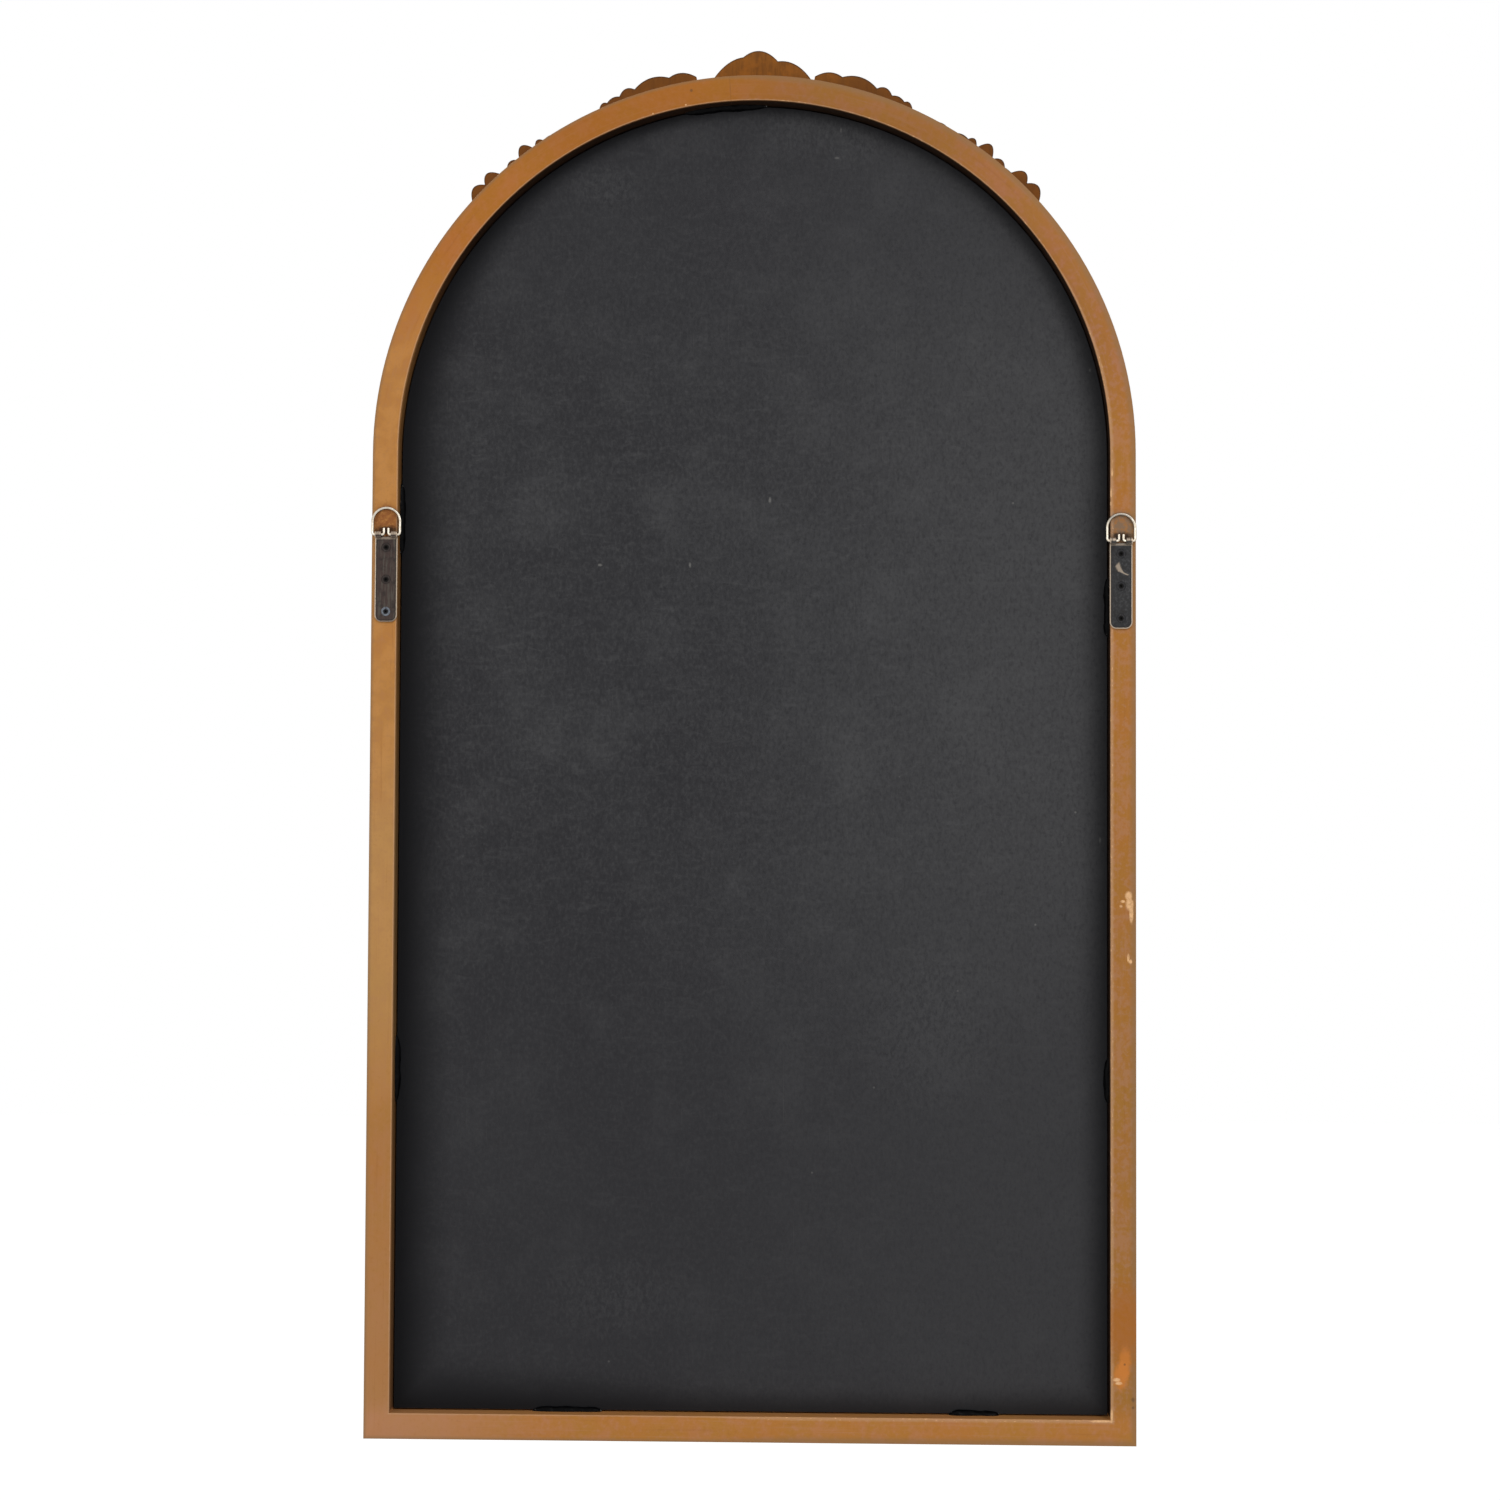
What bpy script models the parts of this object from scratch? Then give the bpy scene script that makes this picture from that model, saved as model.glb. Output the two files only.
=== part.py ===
"""Arched accent mirror with a carved crest, hung by two strap hangers.

Metres, +Z up. The glass faces -Y and the back faces +Y. The plane y = 0 is the flat back of the frame.
The origin is the hook line: midway between the tops of the two D-rings, on that back plane.
Left and right are as seen by someone who looks at the glass, so right is +X.
"""
import math

import bmesh
import bpy
from mathutils import Matrix, Vector

# Frame, outside sizes, and how far the hook line lies below the springing of the arch
FRAME_WIDTH = 0.508
SPRING_HEIGHT = 0.653
HOOK_DROP = 0.0398

# Moulding section: flat back rim, rebate under a lip, then sight bead, cove, crown, ovolo and quirk
RIM_WIDTH = 0.017
LIP_REACH = 0.010
LIP_THICKNESS = 0.0025
BACK_ARRIS = 0.0006
BEAD_WIDTH = 0.005
BEAD_RISE = 0.002
CROWN_RISE = 0.0054
CROWN_FLAT = 0.003
OVOLO_WIDTH = 0.007
OVOLO_HEIGHT = 0.007
QUIRK_WIDTH = 0.002
QUIRK_STEP = 0.001

# Glass and board, and the play that they have in the rebate
RECESS_DEPTH = 0.016
BOARD_THICKNESS = 0.0025
GLASS_THICKNESS = 0.003
EDGE_PLAY = 0.001

# Clearance between pieces that touch, and how far a cut runs past what it cuts
SEAT_GAP = 0.0003
OVERRUN = 0.002

# Joints between the frame's members, and their dowels
CROWN_JOINT_DEG = 3.8
DOWEL_RADIUS = 0.004
DOWEL_LENGTH = 0.040
DOWEL_CHAMFER = 0.0008
CORNER_DOWEL_RADIUS = 0.0025
CORNER_DOWEL_LENGTH = 0.012

# Strap hangers: plate, rolled knuckles, slot between them and screws
PLATE_WIDTH = 0.015
PLATE_THICKNESS = 0.0012
PLATE_LENGTH = 0.0582
PLATE_CORNER = 0.0045
KNUCKLE_TURN_DEG = 280
HANGER_INSET = 0.0099
HANGER_LEVEL_SHIFT = 0.0019
FIRST_SCREW_DROP = 0.0085
LAST_SCREW_RISE = 0.0069
SCREW_COUNT = 3
SCREW_RADIUS = 0.0015
SCREW_LENGTH = 0.0145
SCREW_TIP = 0.003
HEAD_RADIUS = 0.0031
HEAD_PROUD = 0.0002
HEAD_RIM = 0.0002

# D-ring: bent from one wire, with its two ends turned up between the knuckles
WIRE_RADIUS = 0.0009
BAR_PLAY = 0.00015
RING_HEIGHT = 0.018
RING_SIDE_PLAY = 0.0008
RING_CORNER = 0.0014
RING_END_SPACING = 0.003
RING_END_LENGTH = 0.0045
RING_END_BEND = 0.0012
SLOT_PLAY = 0.0009

# Carved crest: its least edges, and how its relief falls from the brow to the inner edge
CREST_EDGE = 0.0012
CREST_LEAST_OVERHANG = 0.0009
CREST_TIP_TAPER = 0.004
BROW_SHARE = 0.7
FLOW_SHARES = ((0.15, 1.0), (0.4, 0.9), (0.65, 0.65), (0.88, 0.35))
LOBE_RELIEF_SHARE = 0.33
END_FALL_SHARE = 0.8

# Palmette over the crown: rise past the outer edge, reach over the moulding, relief and half length
PALMETTE_RISE = 0.0221
PALMETTE_REACH = 0.030
PALMETTE_RELIEF = 0.0085
PALMETTE_HALF_DEG = 8.2

# Sprays beside it and at the haunches, the same sizes and where the middle of each lies
INNER_SPRAY_RISE = 0.0138
INNER_SPRAY_REACH = 0.022
INNER_SPRAY_RELIEF = 0.0065
INNER_SPRAY_HALF_DEG = 7.9
INNER_SPRAY_DEG = 16.7
OUTER_SPRAY_RISE = 0.0112
OUTER_SPRAY_REACH = 0.021
OUTER_SPRAY_RELIEF = 0.0055
OUTER_SPRAY_HALF_DEG = 10.3
OUTER_SPRAY_DEG = 38.1

# Lobes of each piece's outline: place, half length and height
PALMETTE_OUTLINE_SHARES = ((-0.05, 0.60, 1.0), (0.16, 0.69, 0.81), (-0.49, 0.62, 0.70))
PALMETTE_INNER_SHARES = ((0.0, 0.40, 1.0), (0.40, 0.40, 0.72), (-0.46, 0.42, 0.72),
                         (0.74, 0.30, 0.40), (-0.80, 0.30, 0.40))
INNER_SPRAY_OUTLINE_SHARES = ((-0.68, 0.50, 0.88), (-0.19, 0.64, 0.98), (0.32, 0.30, 0.83),
                              (0.60, 0.31, 0.63), (0.82, 0.18, 0.56))
INNER_SPRAY_INNER_SHARES = ((-0.68, 0.44, 0.70), (-0.10, 0.48, 0.95), (0.52, 0.46, 0.65))
OUTER_SPRAY_OUTLINE_SHARES = ((-0.86, 0.19, 0.41), (-0.51, 0.21, 0.46), (-0.36, 0.12, 0.65),
                              (-0.12, 0.165, 0.95), (0.14, 0.155, 0.59), (0.31, 0.24, 0.36),
                              (0.51, 0.185, 0.99), (0.77, 0.21, 0.94))
OUTER_SPRAY_INNER_SHARES = ((-0.55, 0.50, 0.50), (0.0, 0.46, 0.80), (0.58, 0.44, 0.95))

# Hot-melt glue beads at the board's edge, and where each lies along its stile, rail or arch
GLUE_WIDTH = 0.005
GLUE_HEIGHT = 0.0042
GLUE_END_SHARE = 0.35
RIGHT_UPPER_GLUE_SHARES = (0.898, 0.971)
RIGHT_LOWER_GLUE_SHARES = (0.338, 0.405)
LEFT_UPPER_GLUE_SHARES = (0.814, 0.875)
LEFT_LOWER_GLUE_SHARES = (0.341, 0.386)
FOOT_RIGHT_GLUE_SHARES = (0.385, 0.566)
FOOT_LEFT_GLUE_SHARES = (-0.649, -0.520)
CROWN_GLUE_DEG = (-1.9, 11.5)

# How sharp an edge must be to stay sharp where a surface is shaded smooth
EDGE_DEG = 35.0
CARVED_EDGE_DEG = 50.0

# How finely the curved surfaces are cut into flats
ARCH_SEGMENT_DEG = 3.0
MOULDING_STEPS = 6
SHEET_ARC_STEPS = 60
GLUE_STATIONS = 10
GLUE_SECTION_DEG = (0, 25, 50, 70, 90)
CORNER_STEPS = 5
ROLL_STEPS = 14
BEND_STEPS = 3
BOW_STEPS = 7

# Colours as linear values, from the photographed surfaces
GOLD = (0.42, 0.19, 0.06)
CREST_GOLD = (0.36, 0.17, 0.055)
BOARD_BLACK = (0.038, 0.038, 0.041)
GLUE_BLACK = (0.012, 0.012, 0.013)
SILVERING = (0.78, 0.79, 0.80)
BRONZE = (0.055, 0.047, 0.042)
ZINC = (0.60, 0.58, 0.52)
BEECH = (0.45, 0.30, 0.17)

HALF_WIDTH = FRAME_WIDTH / 2
SPRING_Z = HOOK_DROP
FOOT_Z = SPRING_Z - SPRING_HEIGHT
SIGHT_INSET = RIM_WIDTH + LIP_REACH
REBATE_DEPTH = RECESS_DEPTH + BOARD_THICKNESS + SEAT_GAP + GLASS_THICKNESS + SEAT_GAP
BEAD_FOOT = REBATE_DEPTH + LIP_THICKNESS
CROWN_DEPTH = BEAD_FOOT + CROWN_RISE
CROWN_INSET = QUIRK_WIDTH + OVOLO_WIDTH
SIDE_DEPTH = CROWN_DEPTH - OVOLO_HEIGHT - QUIRK_STEP
CREST_SEAT = CROWN_DEPTH + SEAT_GAP
CREST_BACK_DEPTH = SIDE_DEPTH + SEAT_GAP
DOWEL_INSET = RIM_WIDTH / 2
DOWEL_DEPTH = REBATE_DEPTH / 2
RING_LEG_X = PLATE_WIDTH / 2 + RING_SIDE_PLAY + WIRE_RADIUS
SLOT_WIDTH = RING_END_SPACING + 2 * (WIRE_RADIUS + SLOT_PLAY)
HANGER_BAR_DROP = RING_HEIGHT - WIRE_RADIUS
SCREW_PITCH = (PLATE_LENGTH - FIRST_SCREW_DROP - LAST_SCREW_RISE) / (SCREW_COUNT - 1)
BAR_Y = SEAT_GAP + PLATE_THICKNESS + BAR_PLAY + WIRE_RADIUS


def clear_scene():
    for old in list(bpy.data.objects):
        bpy.data.objects.remove(old, do_unlink=True)


def material(name, colour, roughness, metallic=0.0):
    made = bpy.data.materials.get(name) or bpy.data.materials.new(name)
    made.use_nodes = True
    shader = made.node_tree.nodes["Principled BSDF"]
    shader.inputs["Base Color"].default_value = (*colour, 1.0)
    shader.inputs["Roughness"].default_value = roughness
    shader.inputs["Metallic"].default_value = metallic
    return made


def add_object(name, mesh_source, finish, smooth_deg=EDGE_DEG):
    """Turns a finished bmesh into a named object with one material."""
    bmesh.ops.recalc_face_normals(mesh_source, faces=mesh_source.faces)
    mesh = bpy.data.meshes.new(name)
    mesh_source.to_mesh(mesh)
    mesh_source.free()
    mesh.shade_smooth()
    mesh.set_sharp_from_angle(angle=math.radians(smooth_deg))
    mesh.materials.append(finish)
    made = bpy.data.objects.new(name, mesh)
    bpy.context.scene.collection.objects.link(made)
    return made


def bridge(solid, first, second):
    """Joins two rings of vertices that have as many points each."""
    for index, corner in enumerate(first):
        after = (index + 1) % len(first)
        solid.faces.new((corner, first[after], second[after], second[index]))


def loft(solid, rings):
    """One closed body through successive rings of points, with a flat cap at each end."""
    rows = [[solid.verts.new(point) for point in ring] for ring in rings]
    for first, second in zip(rows, rows[1:]):
        bridge(solid, first, second)
    solid.faces.new(rows[0])
    solid.faces.new(rows[-1])
    return rows


def turned(solid, start, direction, profile, sides=16):
    """A turned body about an axis, from pairs of distance along it and radius."""
    axis = Vector(direction).normalized()
    across = axis.orthogonal().normalized()
    other = axis.cross(across)
    rings = []
    for distance, radius in profile:
        centre = Vector(start) + axis * distance
        turns = [2 * math.pi * step / sides for step in range(sides)]
        rings.append([centre + (across * math.cos(a) + other * math.sin(a)) * radius for a in turns])
    loft(solid, rings)


def quarter(centre, width, height, outward):
    """Points of a quarter ellipse in the section, from its top (or its foot) to its side."""
    points = []
    for step in range(MOULDING_STEPS + 1):
        turn = math.pi / 2 * step / MOULDING_STEPS
        rise = height * math.cos(turn)
        points.append((centre[0] - width * math.sin(turn), centre[1] + (rise if outward else -rise)))
    return points


def frame_section():
    """Closed section of the moulding as pairs of inset from the outer edge and depth behind the back."""
    bead_start = SIGHT_INSET - BEAD_WIDTH
    back = [(BACK_ARRIS, 0), (RIM_WIDTH - BACK_ARRIS, 0), (RIM_WIDTH, BACK_ARRIS)]
    rebate = [(RIM_WIDTH, REBATE_DEPTH), (SIGHT_INSET, REBATE_DEPTH)]
    bead = []
    for step in range(MOULDING_STEPS + 1):
        turn = math.pi * step / MOULDING_STEPS
        inset = bead_start + BEAD_WIDTH / 2 * (1 + math.cos(turn))
        bead.append((inset, BEAD_FOOT + BEAD_RISE * math.sin(turn)))
    cove_width = bead_start - CROWN_INSET - CROWN_FLAT
    cove = quarter((bead_start, CROWN_DEPTH), cove_width, CROWN_RISE, outward=False)
    ovolo = quarter((CROWN_INSET, SIDE_DEPTH + QUIRK_STEP), OVOLO_WIDTH, OVOLO_HEIGHT, outward=True)
    side = [(QUIRK_WIDTH, SIDE_DEPTH), (0, SIDE_DEPTH), (0, BACK_ARRIS)]
    return back + rebate + bead + cove[1:] + ovolo + side


def arch_point(angle, inset, depth):
    """A point of the arch, at an angle from the crown that is positive towards +X."""
    radius = HALF_WIDTH - inset
    return Vector((radius * math.sin(angle), -depth, SPRING_Z + radius * math.cos(angle)))


def arch_tangent(angle):
    return Vector((math.cos(angle), 0, -math.sin(angle)))


def frame_member(name, rings, cutters, finish):
    """A frame member lofted through its end sections, with its bores cut."""
    solid = bmesh.new()
    loft(solid, rings)
    member = add_object(name, solid, finish)
    bores = bmesh.new()
    for start, direction, length, radius in cutters:
        turned(bores, start, direction, [(0, radius), (length, radius)])
    cutter = add_object(name + "_bores", bores, finish)
    cutter.hide_render = True
    cutter.display_type = "WIRE"
    cut = member.modifiers.new("bores", "BOOLEAN")
    cut.operation = "DIFFERENCE"
    cut.solver = "EXACT"
    cut.object = cutter
    return member


def dowel_bore(centre, direction, length, radius):
    """Start, direction, length and radius of the hole that a dowel needs on both sides of its joint."""
    reach = length / 2 + SEAT_GAP
    return (Vector(centre) - Vector(direction) * reach, direction, reach * 2, radius + SEAT_GAP)


def joint_dowels():
    """Each joint's dowel: centre, direction, length and radius."""
    shoulder_x = HALF_WIDTH - DOWEL_INSET
    crown_angle = math.radians(CROWN_JOINT_DEG)
    corner = RIM_WIDTH / 2
    places = {"crown_dowel": (arch_point(crown_angle, DOWEL_INSET, DOWEL_DEPTH), arch_tangent(crown_angle),
                              DOWEL_LENGTH, DOWEL_RADIUS)}
    for side, sign in (("left", -1), ("right", 1)):
        places[side + "_shoulder_dowel"] = (Vector((sign * shoulder_x, -DOWEL_DEPTH, SPRING_Z)),
                                            Vector((0, 0, 1)), DOWEL_LENGTH, DOWEL_RADIUS)
        places[side + "_corner_dowel"] = (
            Vector((sign * (HALF_WIDTH - corner), -DOWEL_DEPTH, FOOT_Z + corner)),
            Vector((sign, 0, 1)).normalized(), CORNER_DOWEL_LENGTH, CORNER_DOWEL_RADIUS)
    return places


def hanger_bar(sign):
    """The middle of a D-ring's bar: its hinge."""
    return Vector((sign * (HALF_WIDTH - HANGER_INSET), BAR_Y, sign * HANGER_LEVEL_SHIFT - HANGER_BAR_DROP))


def screw_places(sign):
    """Where each screw's axis meets the plane of the frame's back."""
    bar = hanger_bar(sign)
    drops = [FIRST_SCREW_DROP + SCREW_PITCH * index for index in range(SCREW_COUNT)]
    return [Vector((bar.x, 0, bar.z - drop)) for drop in drops]


def build_stiles(finish, dowels):
    for side, sign in (("left", -1), ("right", 1)):
        top = []
        mitre = []
        for inset, depth in frame_section():
            x = sign * (HALF_WIDTH - inset)
            top.append((x, -depth, SPRING_Z - SEAT_GAP / 2))
            mitre.append((x, -depth, FOOT_Z + inset + SEAT_GAP / math.sqrt(2)))
        cutters = [dowel_bore(*dowels[side + "_shoulder_dowel"]),
                   dowel_bore(*dowels[side + "_corner_dowel"])]
        pilot = SCREW_RADIUS + SEAT_GAP
        for place in screw_places(sign):
            start = place + Vector((0, OVERRUN, 0))
            cutters.append((start, (0, -1, 0), OVERRUN + SCREW_LENGTH + SEAT_GAP, pilot))
        frame_member(side + "_stile", [mitre, top], cutters, finish)


def build_bottom_rail(finish, dowels):
    rings = []
    for sign in (-1, 1):
        ring = []
        for inset, depth in frame_section():
            x = sign * (HALF_WIDTH - inset - SEAT_GAP / math.sqrt(2))
            ring.append((x, -depth, FOOT_Z + inset))
        rings.append(ring)
    cutters = [dowel_bore(*dowels["left_corner_dowel"]), dowel_bore(*dowels["right_corner_dowel"])]
    frame_member("bottom_rail", rings, cutters, finish)


def build_arch(finish, dowels):
    crown = math.radians(CROWN_JOINT_DEG)
    spans = (("left", -math.pi / 2, crown), ("right", crown, math.pi / 2))
    for side, begin, end in spans:
        count = round((end - begin) / math.radians(ARCH_SEGMENT_DEG))
        rings = []
        for step in range(count + 1):
            angle = begin + (end - begin) * step / count
            shift = Vector()
            if step == 0:
                shift = arch_tangent(angle) * (SEAT_GAP / 2)
            if step == count:
                shift = arch_tangent(angle) * (-SEAT_GAP / 2)
            rings.append([arch_point(angle, inset, depth) + shift for inset, depth in frame_section()])
        cutters = [dowel_bore(*dowels[side + "_shoulder_dowel"]), dowel_bore(*dowels["crown_dowel"])]
        frame_member(side + "_arch", rings, cutters, finish)


def build_dowels(finish, dowels):
    for name, (centre, direction, length, radius) in dowels.items():
        solid = bmesh.new()
        start = centre - direction * (length / 2)
        slim = radius - DOWEL_CHAMFER
        profile = [(0, slim), (DOWEL_CHAMFER, radius), (length - DOWEL_CHAMFER, radius), (length, slim)]
        turned(solid, start, direction, profile)
        add_object(name, solid, finish)


def arched_sheet(name, edge, back_depth, thickness, finish):
    """A flat sheet with a semicircular top, its edge a given distance inside the frame's outer edge."""
    outline = [(HALF_WIDTH - edge, FOOT_Z + edge), (edge - HALF_WIDTH, FOOT_Z + edge)]
    for step in range(SHEET_ARC_STEPS + 1):
        point = arch_point(math.pi * (step / SHEET_ARC_STEPS - 1 / 2), edge, 0)
        outline.append((point.x, point.z))
    solid = bmesh.new()
    loft(solid, [[(x, -depth, z) for x, z in outline] for depth in (back_depth, back_depth + thickness)])
    add_object(name, solid, finish)


def build_glass_and_board(glass, board):
    edge = RIM_WIDTH + EDGE_PLAY
    arched_sheet("backing_board", edge, RECESS_DEPTH, BOARD_THICKNESS, board)
    arched_sheet("mirror_glass", edge, RECESS_DEPTH + BOARD_THICKNESS + SEAT_GAP, GLASS_THICKNESS, glass)


def lobed(place, lobes):
    """Height share of a scalloped outline: the highest of its rounded lobes at this place."""
    return max([0.0] + [share * (1 - ((place - centre) / half) ** 2) for centre, half, share in lobes])


def ornament(name, centre_deg, half_deg, sizes, outline_shares, inner_shares, finish, stations=40):
    """A carved piece seated on the crown of the arch and hooked over its outer edge.

    sizes are the rise past the outer edge, the reach in over the moulding and the height of the relief.
    Lobes are triples of place, half length and height, as shares of the piece's half length and sizes.
    """
    rise, reach, relief = sizes
    rings = []
    for station in range(stations + 1):
        place = 2 * station / stations - 1
        angle = math.radians(centre_deg + half_deg * place)
        over = CREST_LEAST_OVERHANG + (rise - CREST_LEAST_OVERHANG) * lobed(place, outline_shares)
        inward = CROWN_INSET + (reach - CROWN_INSET) * lobed(place, inner_shares)
        carved = 1 - LOBE_RELIEF_SHARE * (1 - lobed(place, inner_shares))
        swell = relief * carved * math.sqrt(1 - END_FALL_SHARE * place * place)
        face = CREST_SEAT + CREST_EDGE
        tip = face - CREST_TIP_TAPER * (over - CREST_LEAST_OVERHANG) / rise
        section = [(inward, CREST_SEAT), (-SEAT_GAP, CREST_SEAT), (-SEAT_GAP, CREST_BACK_DEPTH),
                   (-over, CREST_BACK_DEPTH), (-over, tip), (-over / 2, face + swell * BROW_SHARE)]
        section += [(inward * along, face + swell * share) for along, share in FLOW_SHARES]
        section.append((inward, face))
        rings.append([arch_point(angle, inset, depth) for inset, depth in section])
    solid = bmesh.new()
    loft(solid, rings)
    add_object(name, solid, finish, CARVED_EDGE_DEG)


def build_crest(finish):
    ornament("crest_palmette", 0, PALMETTE_HALF_DEG, (PALMETTE_RISE, PALMETTE_REACH, PALMETTE_RELIEF),
             PALMETTE_OUTLINE_SHARES, PALMETTE_INNER_SHARES, finish, stations=48)
    for side, sign in (("left", -1), ("right", 1)):
        inner_outline, inner_edge, outer_outline, outer_edge = (
            [(sign * place, half, share) for place, half, share in lobes] for lobes in
            (INNER_SPRAY_OUTLINE_SHARES, INNER_SPRAY_INNER_SHARES, OUTER_SPRAY_OUTLINE_SHARES,
             OUTER_SPRAY_INNER_SHARES))
        ornament(side + "_inner_spray", sign * INNER_SPRAY_DEG, INNER_SPRAY_HALF_DEG,
                 (INNER_SPRAY_RISE, INNER_SPRAY_REACH, INNER_SPRAY_RELIEF),
                 inner_outline, inner_edge, finish)
        ornament(side + "_outer_spray", sign * OUTER_SPRAY_DEG, OUTER_SPRAY_HALF_DEG,
                 (OUTER_SPRAY_RISE, OUTER_SPRAY_REACH, OUTER_SPRAY_RELIEF),
                 outer_outline, outer_edge, finish)


def glue_bead(name, place, finish):
    """A ridge of glue in the corner between the board and the recess's wall.

    place gives a point from a share along the bead, a distance from the wall and a height off the board.
    """
    rings = []
    for step in range(GLUE_STATIONS + 1):
        along = step / GLUE_STATIONS
        swell = max(GLUE_END_SHARE, math.sqrt(1 - (2 * along - 1) ** 4))
        section = [(SEAT_GAP, SEAT_GAP)]
        for turn in GLUE_SECTION_DEG:
            away = SEAT_GAP + GLUE_WIDTH * swell * math.cos(math.radians(turn))
            high = SEAT_GAP + GLUE_HEIGHT * swell * math.sin(math.radians(turn))
            section.append((away, high))
        rings.append([place(along, away, high) for away, high in section])
    solid = bmesh.new()
    loft(solid, rings)
    add_object(name, solid, finish, CARVED_EDGE_DEG)


def build_glue(finish):
    wall = HALF_WIDTH - RIM_WIDTH
    rail_top = FOOT_Z + RIM_WIDTH
    on_stiles = {"glue_right_upper": (1, RIGHT_UPPER_GLUE_SHARES),
                 "glue_right_lower": (1, RIGHT_LOWER_GLUE_SHARES),
                 "glue_left_upper": (-1, LEFT_UPPER_GLUE_SHARES),
                 "glue_left_lower": (-1, LEFT_LOWER_GLUE_SHARES)}
    for name, (sign, span) in on_stiles.items():
        def on_stile(along, away, height, sign=sign, span=span):
            level = span[0] + (span[1] - span[0]) * along
            return (sign * (wall - away), height - RECESS_DEPTH, FOOT_Z + SPRING_HEIGHT * level)
        glue_bead(name, on_stile, finish)
    on_rail = {"glue_foot_right": FOOT_RIGHT_GLUE_SHARES, "glue_foot_left": FOOT_LEFT_GLUE_SHARES}
    for name, span in on_rail.items():
        def on_foot(along, away, height, span=span):
            across = span[0] + (span[1] - span[0]) * along
            return (HALF_WIDTH * across, height - RECESS_DEPTH, rail_top + away)
        glue_bead(name, on_foot, finish)
    crown_begin, crown_end = (math.radians(angle) for angle in CROWN_GLUE_DEG)

    def under_crown(along, away, height):
        angle = crown_begin + (crown_end - crown_begin) * along
        return arch_point(angle, RIM_WIDTH + away, RECESS_DEPTH - height)
    glue_bead("glue_crown", under_crown, finish)


def plate_outline(bar):
    """Outline of the flat plate from one knuckle's top round the foot to the other's, as x and z."""
    half = PLATE_WIDTH / 2
    foot = -PLATE_LENGTH
    points = [(half, 0)]
    for sign in (1, -1):
        centre = (sign * (half - PLATE_CORNER), foot + PLATE_CORNER)
        for step in range(CORNER_STEPS + 1):
            turn = math.pi / 2 * step / CORNER_STEPS
            if sign < 0:
                turn = math.pi / 2 - turn
            points.append((centre[0] + sign * PLATE_CORNER * math.cos(turn),
                           centre[1] - PLATE_CORNER * math.sin(turn)))
    slot = SLOT_WIDTH / 2
    slot_foot = -(WIRE_RADIUS + SEAT_GAP)
    points += [(-half, 0), (-slot, 0), (-slot, slot_foot), (slot, slot_foot), (slot, 0)]
    return [(bar.x + x, bar.z + z) for x, z in points]


def build_plate(side, sign, finish):
    """The strap plate, with a tab on each side of the slot rolled round the D-ring's bar."""
    bar = hanger_bar(sign)
    front = SEAT_GAP + PLATE_THICKNESS
    outline = plate_outline(bar)
    solid = bmesh.new()
    back_row = [solid.verts.new((x, SEAT_GAP, z)) for x, z in outline]
    front_row = [solid.verts.new((x, front, z)) for x, z in outline]
    solid.faces.new(back_row)
    solid.faces.new(front_row)
    last = len(outline) - 1
    tabs = ((last, 0), (last - 4, last - 3))
    for index in range(len(outline)):
        after = (index + 1) % len(outline)
        if (index, after) in tabs:
            continue
        solid.faces.new((back_row[index], back_row[after], front_row[after], front_row[index]))
    centre = Vector((0, bar.y, bar.z))
    for first, second in tabs:
        row = [back_row[first], back_row[second], front_row[second], front_row[first]]
        start = [corner.co.copy() for corner in row]
        for step in range(1, ROLL_STEPS + 1):
            turn = Matrix.Rotation(-math.radians(KNUCKLE_TURN_DEG) * step / ROLL_STEPS, 4, "X")
            rolled = [solid.verts.new(turn @ (point - centre) + centre) for point in start]
            bridge(solid, row, rolled)
            row = rolled
        solid.faces.new(row)
    plate = add_object(side + "_hanger_plate", solid, finish)
    holes = bmesh.new()
    for place in screw_places(sign):
        through = Vector((0, front + OVERRUN, 0))
        widest = HEAD_RADIUS + SEAT_GAP
        narrow = SCREW_RADIUS + SEAT_GAP
        seat_start = OVERRUN - HEAD_PROUD
        seat_end = seat_start + HEAD_RADIUS - SCREW_RADIUS
        profile = [(0, widest), (seat_start + HEAD_RIM, widest), (seat_end + HEAD_RIM, narrow),
                   (front + 2 * OVERRUN, narrow)]
        turned(holes, place + through, (0, -1, 0), profile)
    cutter = add_object(side + "_plate_holes", holes, finish)
    cutter.hide_render = True
    cutter.display_type = "WIRE"
    cut = plate.modifiers.new("screw_holes", "BOOLEAN")
    cut.operation = "DIFFERENCE"
    cut.solver = "EXACT"
    cut.object = cutter


def build_screws(side, sign, finish):
    """Countersunk screws, each with a thin rim to its head, a cone, a shank and a point."""
    front = SEAT_GAP + PLATE_THICKNESS
    cone = HEAD_RADIUS - SCREW_RADIUS
    for index, place in enumerate(screw_places(sign)):
        solid = bmesh.new()
        top = place + Vector((0, front + HEAD_PROUD, 0))
        end = front + HEAD_PROUD + SCREW_LENGTH
        profile = [(0, HEAD_RADIUS - HEAD_RIM), (HEAD_RIM, HEAD_RADIUS), (HEAD_RIM + cone, SCREW_RADIUS),
                   (end - SCREW_TIP, SCREW_RADIUS), (end, HEAD_RIM)]
        turned(solid, top, (0, -1, 0), profile, sides=14)
        add_object(f"{side}_hanger_screw_{index + 1}", solid, finish)


def rounded_path(corners, bends):
    """Points of a path through its corners, each corner taken round in an arc-like curve."""
    path = [corners[0]]
    for index in range(1, len(corners) - 1):
        before = (corners[index - 1] - corners[index]).normalized()
        after = (corners[index + 1] - corners[index]).normalized()
        begin = corners[index] + before * bends[index - 1]
        end = corners[index] + after * bends[index - 1]
        for step in range(BEND_STEPS + 1):
            share = step / BEND_STEPS
            first = begin.lerp(corners[index], share)
            second = corners[index].lerp(end, share)
            path.append(first.lerp(second, share))
    path.append(corners[-1])
    return path


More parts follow.
